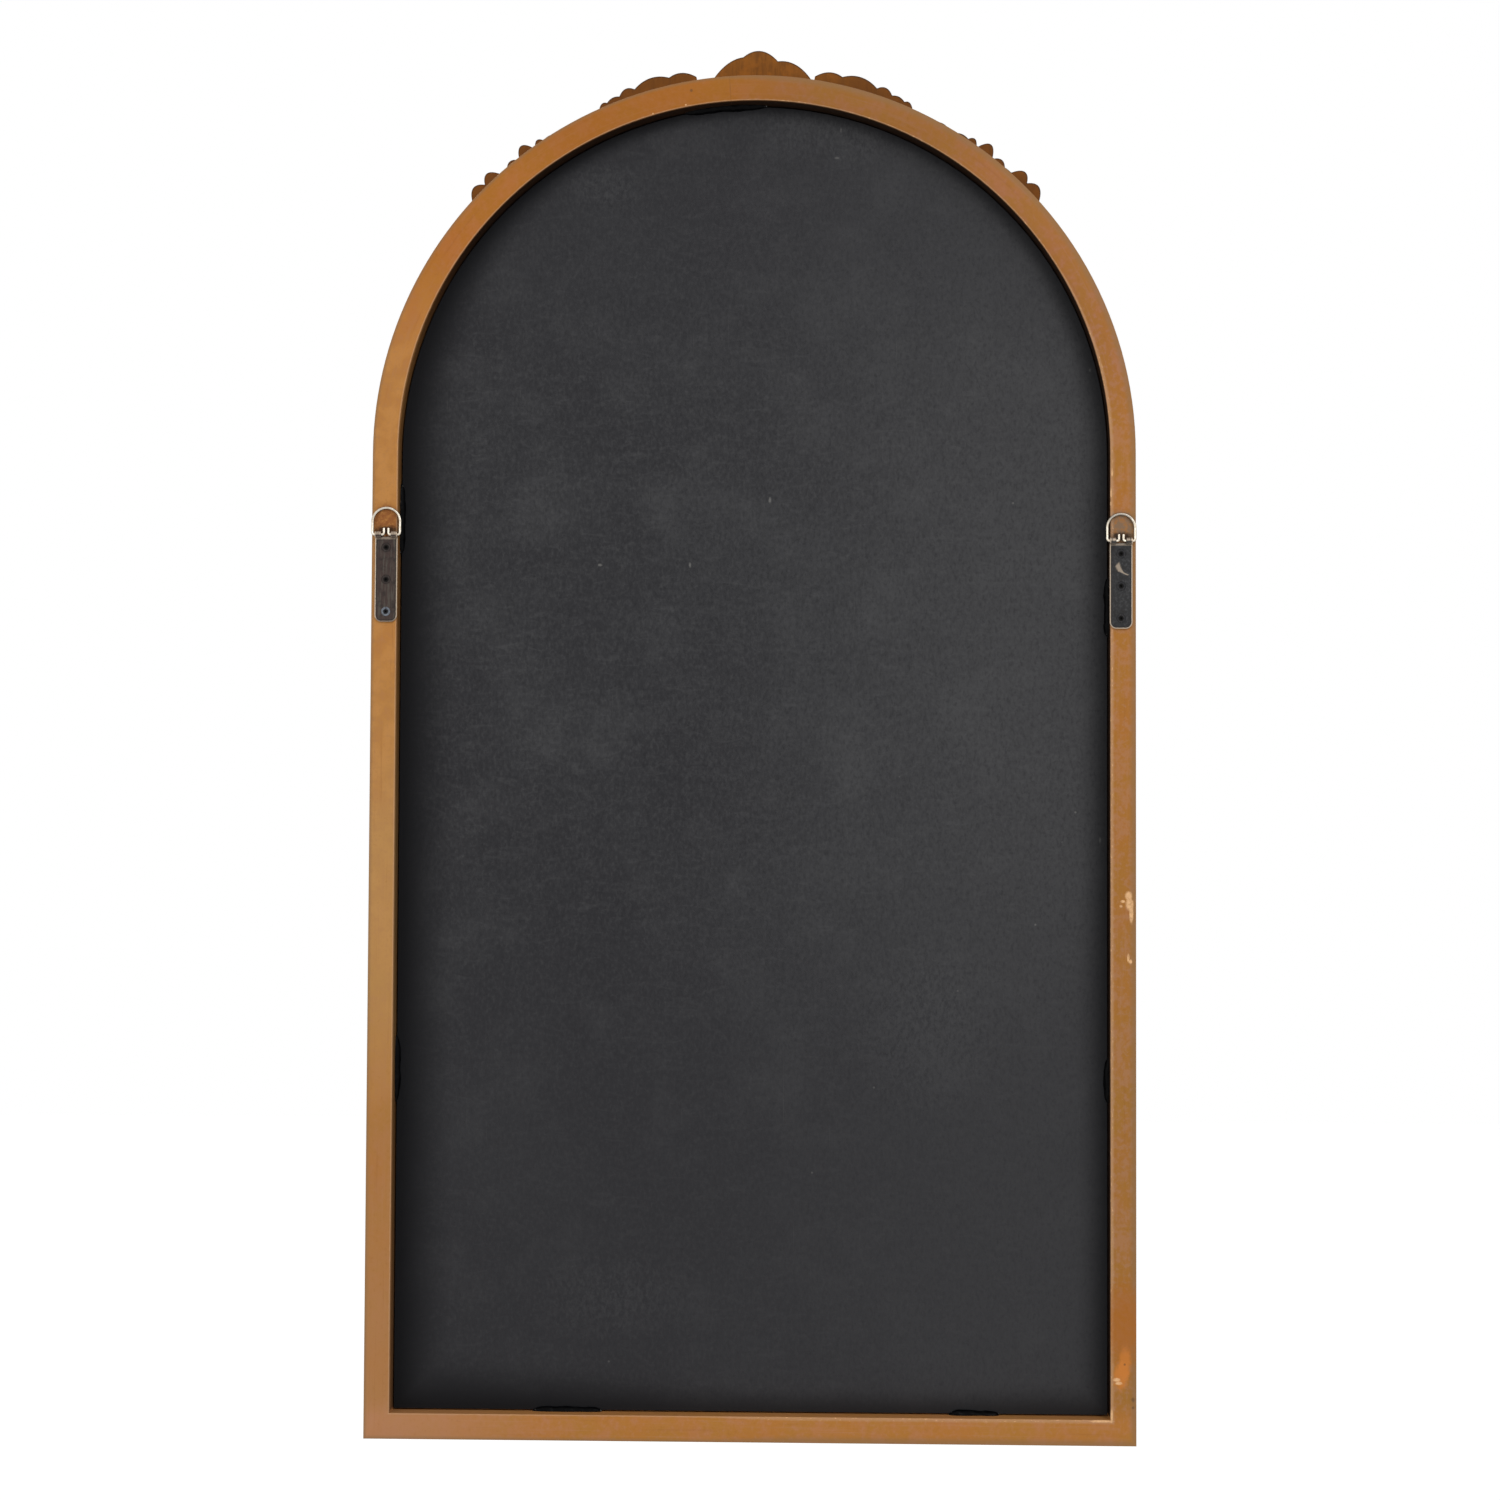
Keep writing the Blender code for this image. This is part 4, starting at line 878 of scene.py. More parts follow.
def carved(centre_deg, half_deg, sizes, outline, inner, tips, inner_tips):
    """Rings of points round a carved piece, with the relief share and the border share of each point."""
    rise, reach, relief = sizes
    place = np.linspace(-1, 1, CREST_STATIONS + 1)[:, None]
    half_length = math.radians(half_deg) * HALF_WIDTH
    over = CREST_LEAST_OVERHANG + (rise - CREST_LEAST_OVERHANG) * lobed(place, outline)
    lobes = lobed(place, inner)
    inward = CROWN_INSET + (reach - CROWN_INSET) * lobes
    swell = relief * (1 - LOBE_RELIEF_SHARE * (1 - lobes)) * np.sqrt(1 - END_FALL_SHARE * place ** 2)
    tip = CREST_FACE - CREST_TIP_TAPER * (over - CREST_LEAST_OVERHANG) / rise
    inset = -over + (over + inward) * np.linspace(0, 1, CREST_ROWS + 1)[None, :]
    outer = np.clip(-inset / over, 0, 1)
    inner_flow = np.interp(np.clip(inset / inward, 0, 1), FLOW_AT, FLOW_HEIGHT)
    outer_flow = np.interp(outer, (0, 0.5, 1.0), (FLOW_HEIGHT[0], BROW_SHARE, 0.0))
    flow = np.where(inset > 0, inner_flow, outer_flow) * swell
    ground = CREST_FACE + (tip - CREST_FACE) * np.clip(outer * 2 - 1, 0, 1)

    x, y = place * half_length, -inset
    ends, inner_ends = ([end * half_length for end in row] for row in (tips, inner_tips))
    heights = TIP_SHARE * np.interp(tips, place[:, 0], over[:, 0])
    drops = -INNER_TIP_SHARE * np.interp(inner_tips, place[:, 0], inward[:, 0])
    if centre_deg == 0:
        roots, inner_roots = ([(0.0, -reach * BOSS_SHARE)] * len(row) for row in (ends, inner_ends))
    else:
        lean = math.copysign(LEAF_LEAN, centre_deg)
        roots, inner_roots = ([(end - lean, -reach * STEM_SHARE) for end in row]
                              for row in (ends, inner_ends))
    cut = np.maximum(fan(x, y, ends, heights, roots),
                     INNER_PETAL_SHARE * fan(x, y, inner_ends, drops, inner_roots))
    if centre_deg == 0:
        for across, up, half in PALMETTE_SIDE_TIPS:
            leaf = petal(x, y, roots[0], (across * half_length, up * reach), half)
            cut = np.maximum(cut, SIDE_PETAL_SHARE * leaf)
        boss = np.hypot(x, y + reach * BOSS_SHARE) / BOSS_RADIUS
        cut = np.where(boss < BOSS_MOAT, np.sqrt(np.clip(1 - boss ** 2, 0, 1)), cut)
    else:
        stem = np.clip(1 - ((y + reach * STEM_SHARE) / STEM_HALF) ** 2, 0, 1) ** 0.5
        cut = np.maximum(cut, STEM_RELIEF * stem)
    front = ground + flow * (GROUND_SHARE + (1 - GROUND_SHARE) * cut)
    front[:, 0] = tip[:, 0]

    soft = np.minimum(CREST_ARRIS, over / 4)
    border = np.minimum(CREST_BORDER, over / 2)
    hook, flat = np.full_like(over, CREST_SEAT), np.full_like(over, CREST_BACK_DEPTH)
    gap = np.full_like(over, -SEAT_GAP)
    back = [(inward, hook), (gap, hook), (gap, flat), (-over + border, flat), (-over + soft, flat),
            (-over + soft * 0.3, flat + soft * 0.3), (-over, flat + soft), (-over, tip - soft)]
    insets = np.concatenate([part[0] for part in back] + [inset], axis=1)
    depths = np.concatenate([part[1] for part in back] + [front], axis=1)
    reliefs = np.concatenate([np.zeros((CREST_STATIONS + 1, len(back))), cut], axis=1)
    borders = np.zeros_like(insets)
    borders[:, OUTLINE_START:len(back) + 1] = 1.0
    angle = np.radians(centre_deg + half_deg * place)
    radius = HALF_WIDTH - insets
    points = np.stack([radius * np.sin(angle), -depths, SPRING_Z + radius * np.cos(angle)], axis=-1)
    return points, reliefs, borders


def loft(name, points, values, finish, edge_deg):
    """A closed mesh through rings of points, with its two end faces and a named value at each point."""
    rings, count = points.shape[:2]
    faces = []
    for ring in range(rings - 1):
        for index in range(count):
            here, after = ring * count + index, ring * count + (index + 1) % count
            faces.append((here, after, after + count, here + count))
    faces.append(tuple(range(count)))
    faces.append(tuple((rings - 1) * count + index for index in range(count)))
    mesh = bpy.data.meshes.new(name)
    mesh.from_pydata(points.reshape(-1, 3).tolist(), [], faces)
    for label, shares in values.items():
        mesh.attributes.new(label, "FLOAT", "POINT").data.foreach_set("value", shares.ravel())
    give_finish(mesh, finish)
    return placed(name, mesh, edge_deg)


def crest_finish():
    """Bronze gold on the front, worn bright on the high places over a brown glaze. The back is brown."""
    made, place = new_finish("carved_crest")
    relief, border = stored(place, "relief"), stored(place, "border")
    across, y, height = split(place)
    depth = 0 - y
    from_rim = distance(across, height - SPRING_Z) - HALF_WIDTH
    patch = noise(place, 0.012, 3.0, 0.6)
    mottle = noise(place, 0.0030, 4.0, 0.65)
    grain = noise(place, (0.0021, 0.01, 0.020), 3.0, 0.65, 0.4)
    grit = noise(place, 0.0006, 3.0, 0.7)
    uneven = mottle - 0.5
    high = fade(relief + uneven * 0.35 + (patch - 0.5) * 0.5, 0.68, 1.0)
    low = fade(relief + uneven * 0.3, 0.55, 0.10)
    front = coats(
        blend(fade(patch, 0.4, 0.65) * 0.6, CREST_GOLD, GOLD_OLIVE),
        (low * 0.75, GLAZE),
        (high * 0.6, GOLD_RUBBED))
    back = coats(
        blend(fade(grain, 0.44, 0.70) * 0.55, BACK_BROWN, BACK_STAIN_AND_SHADE),
        (fade(patch, 0.46, 0.64) * 0.65, BACK_RUST),
        (fade(abs(across + 0.01), 0.03, 0.06) * 0.56, BACK_STAIN_AND_SHADE),
        # painted shade on the back next to the rim of the arch
        (fade(from_rim + uneven * 0.001, 0.0035, 0.0002) * 0.5, BACK_STAIN_AND_SHADE),
        (border * (0.55 + 0.45 * mottle), BACK_OUTLINE))
    seated = fade(depth + uneven * 0.002, CREST_BACK_DEPTH + 0.0010, CREST_BACK_DEPTH + 0.0050)
    dress(made, {"Base Color": blend(seated, back, front), "Roughness": 0.45 + 0.25 * mottle,
                 "Metallic": seated * high * 0.35, "Specular IOR Level": 0.12,
                 "Normal": bump(mottle * 0.4 + grit * 0.3 + grain * 0.3, 0.00018)})
    return made


crest_gold = crest_finish()
ornaments = {"crest_palmette": PALMETTE}
for side, sign in (("left", -1), ("right", 1)):
    for part, angle, half, sizes, outline, inner, tips, inner_tips in SPRAYS:
        lobes = [[(sign * centre, width, share) for centre, width, share in row]
                 for row in (outline, inner)]
        ends = [sorted(sign * end for end in row) for row in (tips, inner_tips)]
        ornaments[f"{side}_{part}_spray"] = (sign * angle, half, sizes, *lobes, *ends)
for node, sizes in ornaments.items():
    points, reliefs, borders = carved(*sizes)
    ornament = loft("carved_" + node, points, {"relief": reliefs, "border": borders}, crest_gold,
                    CREST_EDGE_DEG)
    seat(ornament, "frame", [node])


# Hanger plates. A strap of thin plated steel on each stile: rounded foot, pressed edge, three holes sunk
# for screw heads, and at the top two tabs rolled into knuckles round the bar of the D-ring.
PLATE_WIDTH = 0.015
PLATE_THICKNESS = 0.0012
PLATE_LENGTH = 0.0582
PLATE_CORNER = 0.0045
PLATE_BEVEL = 0.00035
PLATE_EDGE_DEG = 30.0
KNUCKLE_TURN_DEG = 280
KNUCKLE_STEPS = 28
SLOT_HALF = 0.0033
WIRE_RADIUS = 0.0009
BAR_Y = 0.00255
HANGER_INSET = 0.0099
HANGER_DROP = 0.0171
HANGER_LEVEL_SHIFT = 0.0019
FIRST_SCREW_DROP = 0.0085
LAST_SCREW_RISE = 0.0069
SCREW_COUNT = 3
SCREW_RADIUS = 0.0015
HEAD_RADIUS = 0.0031
HOLE_SIDES = 48
SINK_GAP = 0.00006
DRILL_OVERRUN = 0.002
BEVEL_STEPS = 3
BEVEL_LEAST_DEG = 40
SCUFF_DROP = 0.0200
SCUFF_BOW = 60
PLATE_BROWN = (0.047, 0.029, 0.024)
PLATE_GREY = (0.019, 0.019, 0.020)
PLATE_PALE = (0.080, 0.070, 0.056)
PLATE_ASH = (0.062, 0.062, 0.064)
PLATE_DARK = (0.012, 0.010, 0.009)
PLATE_BRIGHT = (0.560, 0.450, 0.340)
BARS = {side: Vector((sign * (HALF_WIDTH - HANGER_INSET), BAR_Y, sign * HANGER_LEVEL_SHIFT - HANGER_DROP))
        for side, sign in (("left", -1), ("right", 1))}
SCREW_PITCH = (PLATE_LENGTH - FIRST_SCREW_DROP - LAST_SCREW_RISE) / (SCREW_COUNT - 1)
PLATE_FRONT = SEAT_GAP + PLATE_THICKNESS


def plate_shape(bar):
    """The strap before its holes are cut, with its tabs rolled round the bar."""
    half, slot_foot = PLATE_WIDTH / 2, -(WIRE_RADIUS + SEAT_GAP)
    reach = half - PLATE_CORNER
    corner_z = PLATE_CORNER - PLATE_LENGTH
    points = [(half, 0)]
    points += arc((reach, corner_z), PLATE_CORNER, -PLATE_CORNER, 0, 90)
    points += arc((-reach, corner_z), PLATE_CORNER, -PLATE_CORNER, 90, 180)
    points += [(-half, 0), (-SLOT_HALF, 0), (-SLOT_HALF, slot_foot), (SLOT_HALF, slot_foot), (SLOT_HALF, 0)]
    solid = bmesh.new()
    rows = [[solid.verts.new((bar.x + x, y, bar.z + z)) for x, z in points]
            for y in (SEAT_GAP, PLATE_FRONT)]
    solid.faces.new(rows[0])
    solid.faces.new(rows[1])
    last = len(points) - 1
    tabs = ((last, 0), (last - 4, last - 3))
    for index in range(len(points)):
        after = (index + 1) % len(points)
        if (index, after) not in tabs:
            solid.faces.new((rows[0][index], rows[0][after], rows[1][after], rows[1][index]))
    centre = Vector((0, bar.y, bar.z))
    for first, second in tabs:
        row = [rows[0][first], rows[0][second], rows[1][second], rows[1][first]]
        start = [corner.co - centre for corner in row]
        for step in range(1, KNUCKLE_STEPS + 1):
            turn = Matrix.Rotation(-math.radians(KNUCKLE_TURN_DEG) * step / KNUCKLE_STEPS, 4, "X")
            rolled = [solid.verts.new(turn @ point + centre) for point in start]
            for side in range(4):
                solid.faces.new((row[side], row[side - 3], rolled[side - 3], rolled[side]))
            row = rolled
        solid.faces.new(row)
    return closed_mesh(solid, bpy.data.meshes.new("strap"))


def turned_mesh(name, centres, profile, sides):
    """A mesh turned about the Y direction at each centre, from pairs of radius and y."""
    solid = bmesh.new()
    for centre in centres:
        rings = []
        for radius, y in profile:
            circle = arc((centre.x, centre.z), radius, radius, 0, 360, sides)[:-1]
            rings.append([solid.verts.new((x, y, z)) for x, z in circle])
        for low, high in zip(rings, rings[1:]):
            for side in range(sides):
                solid.faces.new((low[side - 1], low[side], high[side], high[side - 1]))
        solid.faces.new(rings[0])
        solid.faces.new(rings[-1])
    return closed_mesh(solid, bpy.data.meshes.new(name))


def cut_mesh(mesh, cutter, bevel=0.0):
    """The mesh with its edges rounded, then with the cutter taken out of it."""
    holder, tool = shown("holder", mesh), shown("tool", cutter)
    if bevel:
        rounding = holder.modifiers.new("rounding", "BEVEL")
        rounding.width = bevel
        rounding.segments = BEVEL_STEPS
        rounding.limit_method = "ANGLE"
        rounding.angle_limit = math.radians(BEVEL_LEAST_DEG)
    cut = holder.modifiers.new("cut", "BOOLEAN")
    cut.operation = "DIFFERENCE"
    cut.solver = "EXACT"
    cut.object = tool
    made = plain_mesh(holder)
    bpy.data.objects.remove(tool)
    return made


def screw_centres(bar):
    """The middles of a plate's screws, from the bar down."""
    return [Vector((bar.x, 0, bar.z - FIRST_SCREW_DROP - SCREW_PITCH * index))
            for index in range(SCREW_COUNT)]


def plate_finish():
    """Dark plated steel, brown on one plate and grey on the other, bright along the pressed edge and the
    knuckles: rubbed metal and painted highlight.
    """
    made, place = new_finish("bronzed_steel")
    across, _, height = split(place)
    right = fade(across, -0.01, 0.01)
    bar_x = (right * 2 - 1) * BARS["right"].x
    bar_z = BARS["left"].z + right * (BARS["right"].z - BARS["left"].z)
    mottle = noise(place, 0.0018, 4.0, 0.7)
    streak = noise(place, (0.0011, 0.004, 0.012), 3.0, 0.65)
    patch = noise(place, 0.0055, 3.0, 0.6)
    grit = noise(place, 0.0004, 3.0, 0.7)
    uneven = mottle - 0.5
    above_bar = height - bar_z
    side = (abs(across - bar_x) - (PLATE_WIDTH / 2 - PLATE_CORNER)).math("MAXIMUM", 0.0)
    foot = (PLATE_CORNER - PLATE_LENGTH - above_bar).math("MAXIMUM", 0.0)
    from_edge = PLATE_CORNER - distance(side, foot)
    pressed_line = fade(abs(from_edge - 0.0012) + uneven * 0.0004, 0.00045, 0.0001)
    rubbed = fade(from_edge + uneven * 0.0006, 0.00085, 0.0005)
    rubbed = rubbed * (1 - 0.55 * right * fade(above_bar + PLATE_LENGTH, 0.0035, 0.0015))
    under_bar = fade(abs(above_bar + 0.0023) + uneven * 0.001, 0.0011, 0.0004)
    knuckle = fade(above_bar, -0.0009, 0.0004) * fade(streak, 0.30, 0.55)
    aside = across - BARS["left"].x
    level = height - BARS["left"].z + SCUFF_DROP
    aslant = (aside + level) * math.sqrt(0.5)
    astride = (aside - level) * math.sqrt(0.5) + aslant * aslant * SCUFF_BOW
    thick = 0.00042 + fade(aslant, -0.0030, 0.0040) * 0.0012
    scuff = fade(abs(astride) / thick + uneven * 1.6, 1.6, 0.5) * fade(abs(aslant), 0.0058, 0.0044)
    # The bright edge and knuckles are partly wear and partly painted highlight.
    worn = rubbed.math("MAXIMUM", under_bar * 0.45).math("MAXIMUM", knuckle * 0.8)
    worn = worn.math("MAXIMUM", scuff * 0.6)
    grey = blend(fade(mottle, 0.44, 0.70) * 0.7, PLATE_GREY, PLATE_ASH)
    brown = blend(fade(streak, 0.45, 0.68) * 0.8, PLATE_BROWN, PLATE_PALE)
    colour = coats(
        blend(right, grey, brown),
        (fade(patch, 0.50, 0.30) * 0.6, PLATE_DARK),
        (pressed_line * 0.75, PLATE_DARK),
        (worn * 0.8, PLATE_BRIGHT))
    dress(made, {"Base Color": colour, "Metallic": 0.55 + 0.35 * worn,
                 "Roughness": 0.50 - 0.16 * worn + 0.14 * mottle,
                 "Normal": bump(mottle * 0.5 + grit * 0.4 + patch * 0.4, 0.00009)})
    return made


bronzed = plate_finish()
drill = [(HEAD_RADIUS + SINK_GAP, PLATE_FRONT + DRILL_OVERRUN), (HEAD_RADIUS + SINK_GAP, PLATE_FRONT),
         (SCREW_RADIUS + 2 * SEAT_GAP, SEAT_GAP), (SCREW_RADIUS + SEAT_GAP, -DRILL_OVERRUN)]
for side, bar in BARS.items():
    holes = turned_mesh("holes", screw_centres(bar), drill, HOLE_SIDES)
    mesh = cut_mesh(plate_shape(bar), holes, PLATE_BEVEL)
    give_finish(mesh, bronzed)
    seat(placed("strap_" + side, mesh, PLATE_EDGE_DEG), "frame", [side + "_hanger_plate"])


# Screws. Three small countersunk wood screws in each strap, cross-recessed, plated like the strap and
# driven home at whatever turn they stopped.
SCREW_LENGTH = 0.0145
SCREW_TIP = 0.003
HEAD_PROUD = 0.0002
HEAD_RIM = 0.0002
SCREW_SIDES = 32
RECESS_REACH = 0.00125
RECESS_HALF = 0.00050
RECESS_SINK = 0.0011
RECESS_FOOT_REACH = 0.40
RECESS_FOOT_HALF = 0.6
SCREW_SEED = 5
SCREW_STEEL = (0.042, 0.034, 0.031)
SCREW_GREY = (0.030, 0.030, 0.032)
SCREW_SHINE = (0.080, 0.074, 0.068)
SCREW_ZINC = (0.170, 0.190, 0.220)
SCREW_DIRT_AND_SHADE = (0.004, 0.0035, 0.003)


def arm_mesh(sweep):
    """The cutter of one stroke of a screw's cross recess, tapering to its foot."""
    turn = Matrix.Rotation(sweep, 4, "Y")
    solid = bmesh.new()
    for corner in bmesh.ops.create_cube(solid, size=2.0)["verts"]:
        low = corner.co.y < 0
        corner.co = turn @ Vector((
            corner.co.x * RECESS_REACH * (RECESS_FOOT_REACH if low else 1.0),
            -RECESS_SINK if low else RECESS_SINK,
            corner.co.z * RECESS_HALF * (RECESS_FOOT_HALF if low else 1.0)))
    return closed_mesh(solid, bpy.data.meshes.new("stroke"))


def screw_tree():
    """Sets a screw at each vertex, each turned at random about its own length."""
    points, size = geometry_tree("screw_row", {
        "Screw": "Object", "Seed": "Int", "Finish": "Material"})
    screw = size["Screw"].node("GeometryNodeObjectInfo", None, {"Object": size["Screw"]}, "Geometry")
    turn = points.node("FunctionNodeRandomValue", {"data_type": "FLOAT"}, {
        "Min": 0.0, "Max": math.pi, "Seed": size["Seed"]}, output=1)
    turn = turn.node("ShaderNodeCombineXYZ", None, {"Y": turn})
    shape = points.node("GeometryNodeInstanceOnPoints", None, {
        "Points": points, "Instance": screw, "Rotation": turn})
    return end_tree(shape, size["Finish"])


def screw_finish():
    """Plated steel with bright rubs, and dirt and painted shade in and round the recess."""
    made, place = new_finish("screw_steel")
    across, y, height = split(place)
    depth = PLATE_FRONT + HEAD_PROUD - y
    right = across > 0.0
    newer = right * (height < BARS["right"].z - PLATE_LENGTH + 2 * LAST_SCREW_RISE)
    first_z = BARS["left"].z + right * (BARS["right"].z - BARS["left"].z) - FIRST_SCREW_DROP
    row = (first_z - height) / SCREW_PITCH
    level = (row - row.math("ROUND")) * SCREW_PITCH
    from_axis = distance(abs(across) - BARS["right"].x, level)
    mottle = noise(place, 0.0012, 4.0, 0.7)
    rub = noise(place, (0.0006, 0.002, 0.003), 3.0, 0.6)
    # dark round the axis and deeper in the recess: dirt and painted shade
    dirt_and_shade = fade(from_axis + (mottle - 0.5) * 0.0010, 0.0021, 0.0014)
    sunk = fade(depth + (mottle - 0.5) * 0.0001, 0.00012, 0.00035)
    bare = fade(depth, 0.0001, 0.0004).math("MAXIMUM", dirt_and_shade)
    colour = coats(
        blend(right, SCREW_GREY, SCREW_STEEL),
        (fade(rub, 0.50, 0.70) * 0.6, SCREW_SHINE),
        (newer * fade(mottle, 0.30, 0.55), SCREW_ZINC),
        (sunk.math("MAXIMUM", dirt_and_shade * 0.92), SCREW_DIRT_AND_SHADE))
    dress(made, {"Base Color": colour, "Metallic": 0.85 - 0.8 * bare,
                 "Roughness": 0.42 + 0.25 * mottle, "Specular IOR Level": 0.08,
                 "Normal": bump(mottle, 0.00006)})
    return made


head_y = PLATE_FRONT + HEAD_PROUD
body = turned_mesh("screw", [Vector((0, 0, 0))], [
    (HEAD_RADIUS - HEAD_RIM, 0.0), (HEAD_RADIUS, -HEAD_RIM),
    (SCREW_RADIUS, SCREW_RADIUS - HEAD_RADIUS - HEAD_RIM),
    (SCREW_RADIUS, SCREW_TIP - SCREW_LENGTH - head_y), (HEAD_RIM, -SCREW_LENGTH - head_y)], SCREW_SIDES)
for sweep in (0.0, math.pi / 2):
    body = cut_mesh(body, arm_mesh(sweep))
screw = bpy.data.objects.new("one_screw", body)
screw_steel = screw_finish()
screw_row = screw_tree()
for index, (side, bar) in enumerate(BARS.items()):
    dots = bpy.data.meshes.new("screw_places")
    dots.from_pydata([(centre.x, head_y, centre.z) for centre in screw_centres(bar)], [], [])
    row = grown("screws_" + side, dots, screw_row, {
        "Screw": screw, "Seed": SCREW_SEED + index, "Finish": screw_steel}, PLATE_EDGE_DEG)
    seat(row, "frame", [f"{side}_hanger_screw_{count + 1}" for count in range(SCREW_COUNT)])
bpy.data.objects.remove(screw)


# D-rings. Each is one length of bright zinc-plated wire: bar through the knuckles, legs, half-round bow,
# and two cut ends turned up side by side in the gap between the knuckles. It swings about its bar.
RING_HEIGHT = 0.018
RING_LEG_X = 0.0092
RING_CORNER = 0.0016
RING_END_SPACING = 0.003
RING_END_LENGTH = 0.0045
RING_END_BEND = 0.0012
RING_BEND_STEPS = 8
RING_BOW_STEPS = 32
WIRE_STEP = 0.0003
WIRE_SIDES = 20
WIRE_TIP = 0.0004
WIRE_TIP_EASE = 0.35
RING_EDGE_DEG = 60.0
WIRE_BRIGHT = (0.800, 0.745, 0.640)
WIRE_WARM = (0.660, 0.570, 0.440)
WIRE_DULL = (0.300, 0.265, 0.225)
WIRE_FLANK_SHADE = (0.075, 0.055, 0.038)


def ring_path():
    """The line of the D-ring's wire about its own bar, as curve data."""
    end_x, bow = RING_END_SPACING / 2, RING_HEIGHT - RING_LEG_X
    half = [(end_x, RING_END_LENGTH)]
    bend, corner = RING_END_BEND, RING_CORNER
    half += arc((end_x + bend, bend), bend, bend, 180, 270, RING_BEND_STEPS)
    half += arc((RING_LEG_X - corner, corner), corner, corner, -90, 0, RING_BEND_STEPS)
    half += arc((0, bow), RING_LEG_X, RING_LEG_X, 0, 90, RING_BOW_STEPS)
    return line_path(*half, *[(-x, z) for x, z in reversed(half[:-1])])


def wire_tree():
    """A round wire along a path, its cut ends eased, leant back about the bar and set in its place."""
    path, size = geometry_tree("bent_wire", {
        "Radius": "Float", "Step": "Float", "Tip": "Float", "Lean": "Float", "Bar": "Vector",
        "Finish": "Material"})
    path = path.node("GeometryNodeResampleCurve", {"mode": "LENGTH"}, {
        "Curve": path, "Length": size["Step"]})
    course = path.node("GeometryNodeSplineParameter")
    length = course.other("Length")
    whole = length / course.math("MAXIMUM", 0.0001)
    to_end = length.math("MINIMUM", whole - length).math("MAXIMUM", 0.0) / size["Tip"]
    eased = 1 - to_end.math("MINIMUM", 1.0)
    ring = path.node("GeometryNodeCurvePrimitiveCircle", None, {
        "Resolution": WIRE_SIDES, "Radius": size["Radius"]})
    shape = swept(path, ring, 1 - eased * eased * WIRE_TIP_EASE)
    _, _, facing = split(shape.node("GeometryNodeInputNormal"))
    shape = keep(shape, "facing", abs(facing))
    turn = shape.node("ShaderNodeCombineXYZ", None, {"X": size["Lean"] + math.pi / 2})
    return end_tree(shape, size["Finish"], size["Bar"], turn)


zinc, place = new_finish("zinc_wire")
across, _, height = split(place)
cloud = noise(place, 0.003, 3.0, 0.6)
drawn = noise(place, (0.0005, 0.002, 0.002), 3.0, 0.6)
tarnish = fade(noise(place, 0.0016, 4.0, 0.7), 0.58, 0.74)
bow = fade(height + (cloud - 0.5) * 0.006, BARS["left"].z + 0.008, BARS["left"].z + 0.017)
# Painted shade on the wire's flanks, the sides that face along the plane of the ring, which show as a dark
# outline.
flank_shade = fade(stored(place, "facing") + (cloud - 0.5) * 0.3, 0.66, 0.42)
colour = coats(
    blend(fade(cloud, 0.4, 0.65), WIRE_BRIGHT, WIRE_WARM),
    (bow * (0.80 - 0.45 * (across > 0.0)), WIRE_DULL),
    (flank_shade * 0.9, WIRE_FLANK_SHADE),
    (tarnish * 0.6, WIRE_DULL))
dress(zinc, {"Base Color": colour, "Metallic": 1.0,
             "Roughness": 0.24 + 0.20 * drawn + 0.2 * tarnish, "Normal": bump(drawn, 0.00004)})
wire = wire_tree()
lean = math.asin((BAR_Y - WIRE_RADIUS - SEAT_GAP) / RING_HEIGHT)
for side, bar in BARS.items():
    ring = grown("bent_ring_" + side, ring_path(), wire, {
        "Radius": WIRE_RADIUS, "Step": WIRE_STEP, "Tip": WIRE_TIP, "Lean": lean, "Bar": bar,
        "Finish": zinc}, RING_EDGE_DEG)
    seat(ring, side + "_ring", [side + "_d_ring"])


# Stage. A plain pale floor under the hanging mirror, soft lamps behind and in front, and the camera that
# looks at the back of the mirror from a little to one side.
CAMERA_PLACE = (-0.07396, 2.19672, -0.25787)
CAMERA_TURN_DEG = (92.5995, -0.2638, -178.0586)
CAMERA_LENS = 79.7
SENSOR_WIDTH = 36.0
FLOOR_DROP = 0.25
FLOOR_SIZE = 14.0
FLOOR_PAINT = (0.80, 0.80, 0.80, 1.0)
FLOOR_ROUGHNESS = 0.9
FLOOR_GLOW = 1.13
FLOOR_GLOW_SHARE = 0.8
WHITE = (1, 1, 1, 1)
WORLD_LIGHT = 0.62
LAMPS = (("key_behind", (-1.3, 2.6, 1.7), 1.6, 30.0), ("fill_behind", (1.9, 2.2, 0.3), 1.8, 9.0),
         ("key_front", (1.3, -2.6, 1.7), 1.6, 30.0), ("fill_front", (-1.9, -2.2, 0.3), 1.8, 9.0))
AIM = Vector((0.0, 0.0, -0.15))

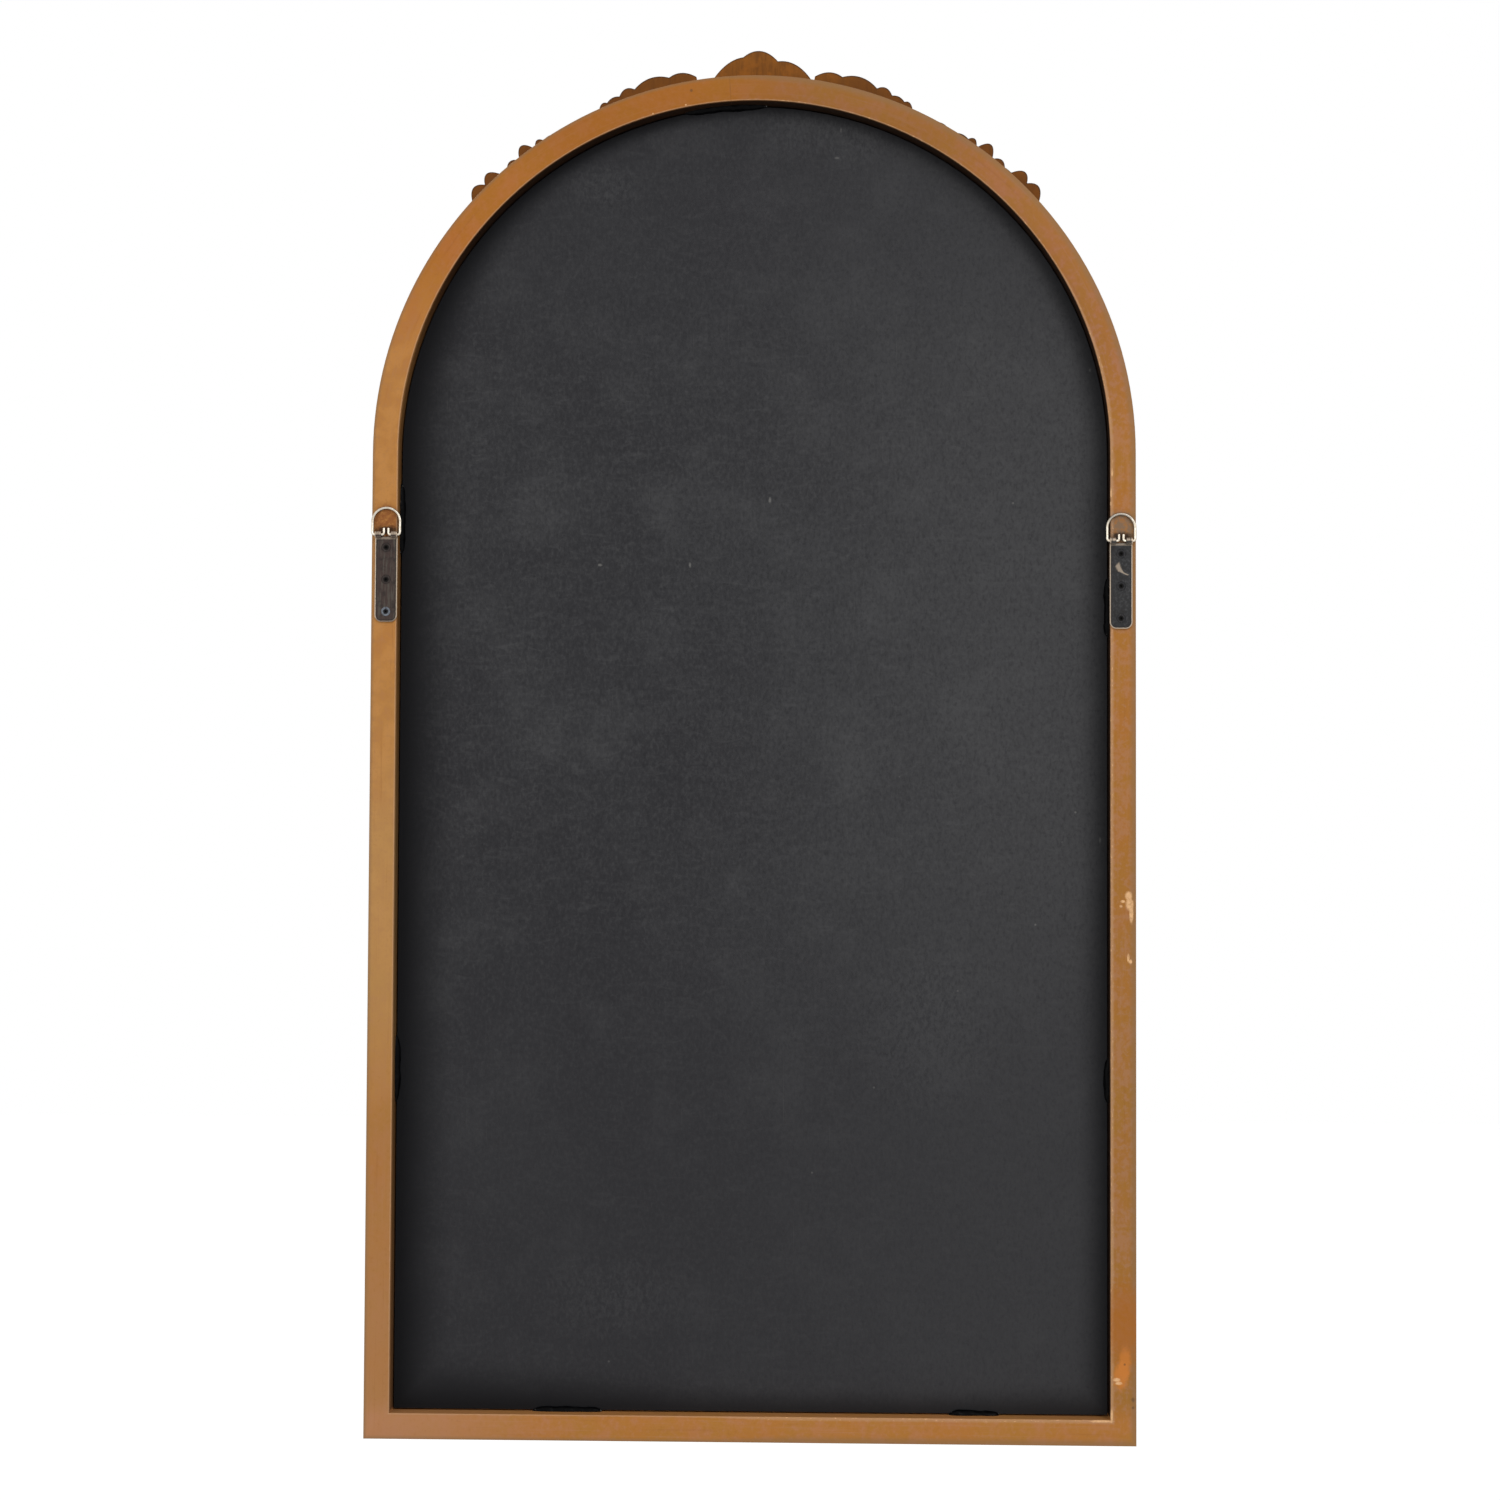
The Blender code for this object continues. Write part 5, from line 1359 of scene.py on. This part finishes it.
lens = bpy.data.cameras.new("camera")
lens.lens = CAMERA_LENS
lens.sensor_width = SENSOR_WIDTH
camera = shown("camera", lens)
camera.location = CAMERA_PLACE
camera.rotation_euler = [math.radians(turn) for turn in CAMERA_TURN_DEG]
bpy.context.scene.camera = camera
bpy.context.scene.view_settings.view_transform = "Standard"


def whiten(tree, shader, kind, strength, share):
    """Lays white over a shader, for rays from the camera and those that metal, glass or gloss sends on."""
    surface = shader.outputs[0].links[0].to_socket
    path = Wire(tree).node("ShaderNodeLightPath")
    direct = path.math("MAXIMUM", path.other("Is Glossy Ray"))
    direct = direct.math("MAXIMUM", path.other("Is Transmission Ray"))
    white = path.node(kind, None, {"Color": WHITE, "Strength": strength})
    mixed = path.node("ShaderNodeMixShader", None, {
        0: direct * share, 1: Wire(tree, shader.outputs[0]), 2: white})
    tree.links.new(mixed.socket, surface)


half, level = FLOOR_SIZE / 2, FOOT_Z - FLOOR_DROP
floor_mesh = bpy.data.meshes.new("floor")
floor_mesh.from_pydata([(-half, -half, level), (half, -half, level), (half, half, level),
                        (-half, half, level)], [], [(0, 1, 2, 3)])
pale_floor = bpy.data.materials.new("pale_floor")
pale_floor.use_nodes = True
dress(pale_floor, {"Base Color": FLOOR_PAINT, "Roughness": FLOOR_ROUGHNESS})
whiten(pale_floor.node_tree, pale_floor.node_tree.nodes["Principled BSDF"], "ShaderNodeEmission",
       FLOOR_GLOW, FLOOR_GLOW_SHARE)
give_finish(floor_mesh, pale_floor)
shown("floor", floor_mesh)

world = bpy.data.worlds.new("studio")
bpy.context.scene.world = world
world.use_nodes = True
daylight = world.node_tree.nodes["Background"]
daylight.inputs["Color"].default_value = WHITE
daylight.inputs["Strength"].default_value = WORLD_LIGHT
whiten(world.node_tree, daylight, "ShaderNodeBackground", 1.0, 1.0)

for name, place, size, power in LAMPS:
    lamp = bpy.data.lights.new(name, "AREA")
    lamp.shape = "SQUARE"
    lamp.size = size
    lamp.energy = power
    held = shown(name, lamp)
    held.location = place
    held.rotation_euler = (AIM - Vector(place)).to_track_quat("-Z", "Y").to_euler()
